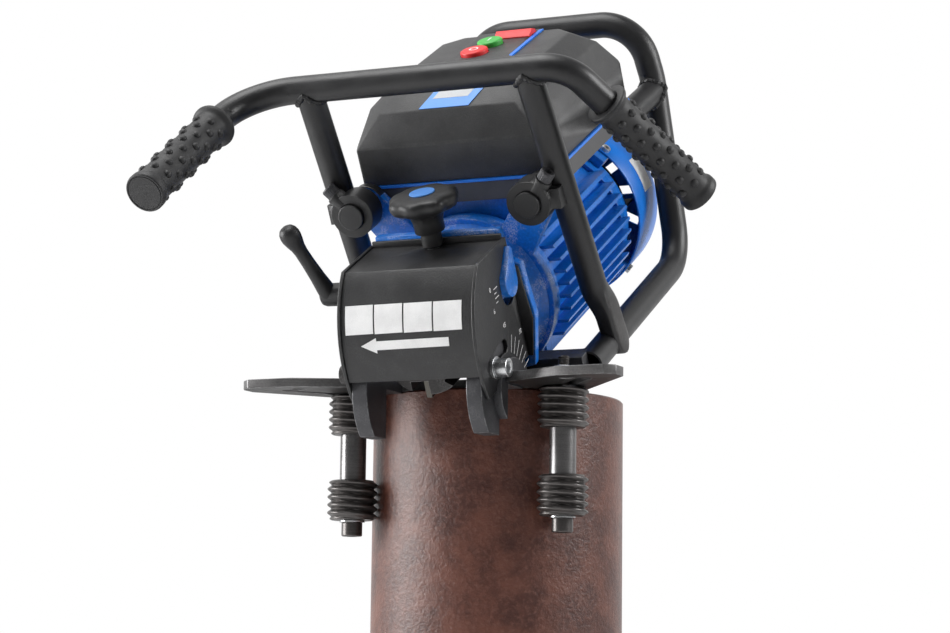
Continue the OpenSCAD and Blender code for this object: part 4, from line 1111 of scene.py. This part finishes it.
class BEVELER_OT_stage(bpy.types.Operator):
    """Set the floor, the pipe stand, the lights and the camera"""
    bl_idname = "beveler.stage"
    bl_label = "Stage"

    def execute(self, context):
        scene = context.scene
        scene.view_settings.view_transform = "Standard"

        def pale(graph, shader):
            place = graph.place()
            tone = graph.mix(graph.noise(place, 9.0, 4.0), (0.80, 0.80, 0.80, 1), (0.86, 0.86, 0.86, 1))
            reach = graph.add("ShaderNodeVectorMath", {"operation": "LENGTH"}, _0=place).outputs["Value"]
            seen = graph.add("ShaderNodeLightPath").outputs["Is Camera Ray"]
            glow = graph.times(seen, graph.spread(reach, 0.62, 1.3, 0.0, 1.0))  # white away from the pipe
            graph.fill(shader, Base_Color=tone, Roughness=0.9, Emission_Color=(1, 1, 1, 1),
                       Emission_Strength=glow)

        def rust(graph, shader):
            place = graph.place()
            fine = graph.noise(place, 260.0, 5.0, 0.65)
            tone = graph.mix(graph.cloud(place, 34.0, 6.0, 0.65, 0.35, 0.7),
                             (0.062, 0.020, 0.014, 1), (0.145, 0.052, 0.034, 1))
            tone = graph.mix(graph.spread(fine, 0.45, 0.7, 0.0, 0.5), tone, (0.19, 0.082, 0.060, 1))
            lift = graph.add("ShaderNodeBump", Strength=0.75, Distance=0.0010, Height=fine)
            graph.fill(shader, Base_Color=tone, Roughness=0.36, Normal=lift.outputs[0])

        floor = bmesh.new()
        bmesh.ops.create_grid(floor, x_segments=1, y_segments=1, size=FLOOR_HALF * MM,
                              matrix=Matrix.Translation((0, 0, FLOOR_Z * MM)))
        pipe = lathe(((PIPE_IN, FLOOR_Z), (PIPE_OUT, FLOOR_Z), (PIPE_OUT, -PIPE_CHAMFER),
                      (PIPE_OUT - PIPE_CHAMFER, 0), (PIPE_IN, 0)), 96, True)
        for name, work, build in (("studio_floor", floor, pale), ("pipe_stand", pipe, rust)):
            make_object(name, work, stage_material(name, build), 30)
        aim = Vector((0, 0.05, 0.05))
        for name, place, size, power in (("top_light", (-0.5, -0.7, 2.1), 1.6, 48.0),
                                         ("rim_light", (2.3, 0.6, 1.1), 1.2, 50.0),
                                         ("left_light", (-2.2, -1.0, 0.4), 1.3, 66.0)):
            lamp = bpy.data.lights.new(name, "AREA")
            lamp.size, lamp.energy = size, power
            made = bpy.data.objects.new(name, lamp)
            made.location = place
            made.rotation_euler = (aim - Vector(place)).to_track_quat("-Z", "Y").to_euler()
            scene.collection.objects.link(made)
        self.world(scene)
        self.camera(scene)
        return {"FINISHED"}

    def world(self, scene):
        """Soft light, with a white ground for the camera and, behind the object, for reflections."""
        world = bpy.data.worlds.new("studio")
        world.use_nodes = True
        graph = Graph(world.node_tree)
        path = graph.add("ShaderNodeLightPath").outputs
        way = graph.add("ShaderNodeTexCoord").outputs["Generated"]
        behind = graph.add("ShaderNodeVectorMath", {"operation": "DOT_PRODUCT"}, _0=way,
                           _1=(-0.41, 0.90, 0.14)).outputs["Value"]
        ground = graph.spread(behind, 0.05, 0.80, 0.08, 1.0)
        shiny = graph.times(graph.math("MAXIMUM", path["Is Glossy Ray"], path["Is Transmission Ray"]), ground)
        seen = graph.math("MAXIMUM", path["Is Camera Ray"], shiny)
        level = graph.math("MAXIMUM", seen, 0.18)
        graph.fill(world.node_tree.nodes["Background"], Color=graph.mix(level, (0, 0, 0, 1), (1, 1, 1, 1)))
        scene.world = world

    def camera(self, scene):
        """The photograph's viewing angle."""
        az, pitch, roll = math.radians(24.637), math.radians(8.255), math.radians(-0.706)
        ahead = Vector((-math.sin(az) * math.cos(pitch), math.cos(az) * math.cos(pitch), math.sin(pitch)))
        right = Vector((math.cos(az), math.sin(az), 0))
        up = right.cross(ahead)
        x = right * math.cos(roll) - up * math.sin(roll)
        y = right * math.sin(roll) + up * math.cos(roll)
        lens = bpy.data.cameras.new("photo_view")
        lens.sensor_width, lens.lens = 36.0, 106.73
        made = bpy.data.objects.new("photo_view", lens)
        made.matrix_world = Matrix.Translation((1.0093, -2.2528, -0.28205)) @ Matrix(
            (x, y, -ahead)).transposed().to_4x4()
        scene.collection.objects.link(made)
        scene.camera = made


class BEVELER_PT_panel(bpy.types.Panel):
    """Shows the settings and the steps of the beveling machine"""
    bl_label = "Beveler"
    bl_idname = "BEVELER_PT_panel"
    bl_space_type = "VIEW_3D"
    bl_region_type = "UI"
    bl_category = "Beveler"

    def draw(self, context):
        for group in (context.scene.beveler_sizes, context.scene.beveler_colours):
            for name in group.bl_rna.properties.keys():
                if name not in {"rna_type", "name"}:
                    self.layout.prop(group, name)
        for operator in OPERATORS:
            self.layout.operator(operator.bl_idname)


OPERATORS = (BEVELER_OT_stage, BEVELER_OT_table, BEVELER_OT_guard, BEVELER_OT_castings,
             BEVELER_OT_switch_box, BEVELER_OT_tubes, BEVELER_OT_hardware, BEVELER_OT_rollers,
             BEVELER_OT_grips, BEVELER_OT_plates, BEVELER_OT_scales)
CLASSES = (BevelerSizes, BevelerColours, *OPERATORS, BEVELER_PT_panel)


def register():
    """Adds the classes and the scene's settings."""
    for item in CLASSES:
        bpy.utils.register_class(item)
    bpy.types.Scene.beveler_sizes = PointerProperty(type=BevelerSizes)
    bpy.types.Scene.beveler_colours = PointerProperty(type=BevelerColours)


def unregister():
    """Takes the settings and the classes away again."""
    del bpy.types.Scene.beveler_colours
    del bpy.types.Scene.beveler_sizes
    for item in reversed(CLASSES):
        bpy.utils.unregister_class(item)


def main():
    """Builds the stage and every piece in order."""
    register()
    for operator in OPERATORS:
        group, name = operator.bl_idname.split(".")
        getattr(getattr(bpy.ops, group), name)()


if __name__ == "__main__":
    main()
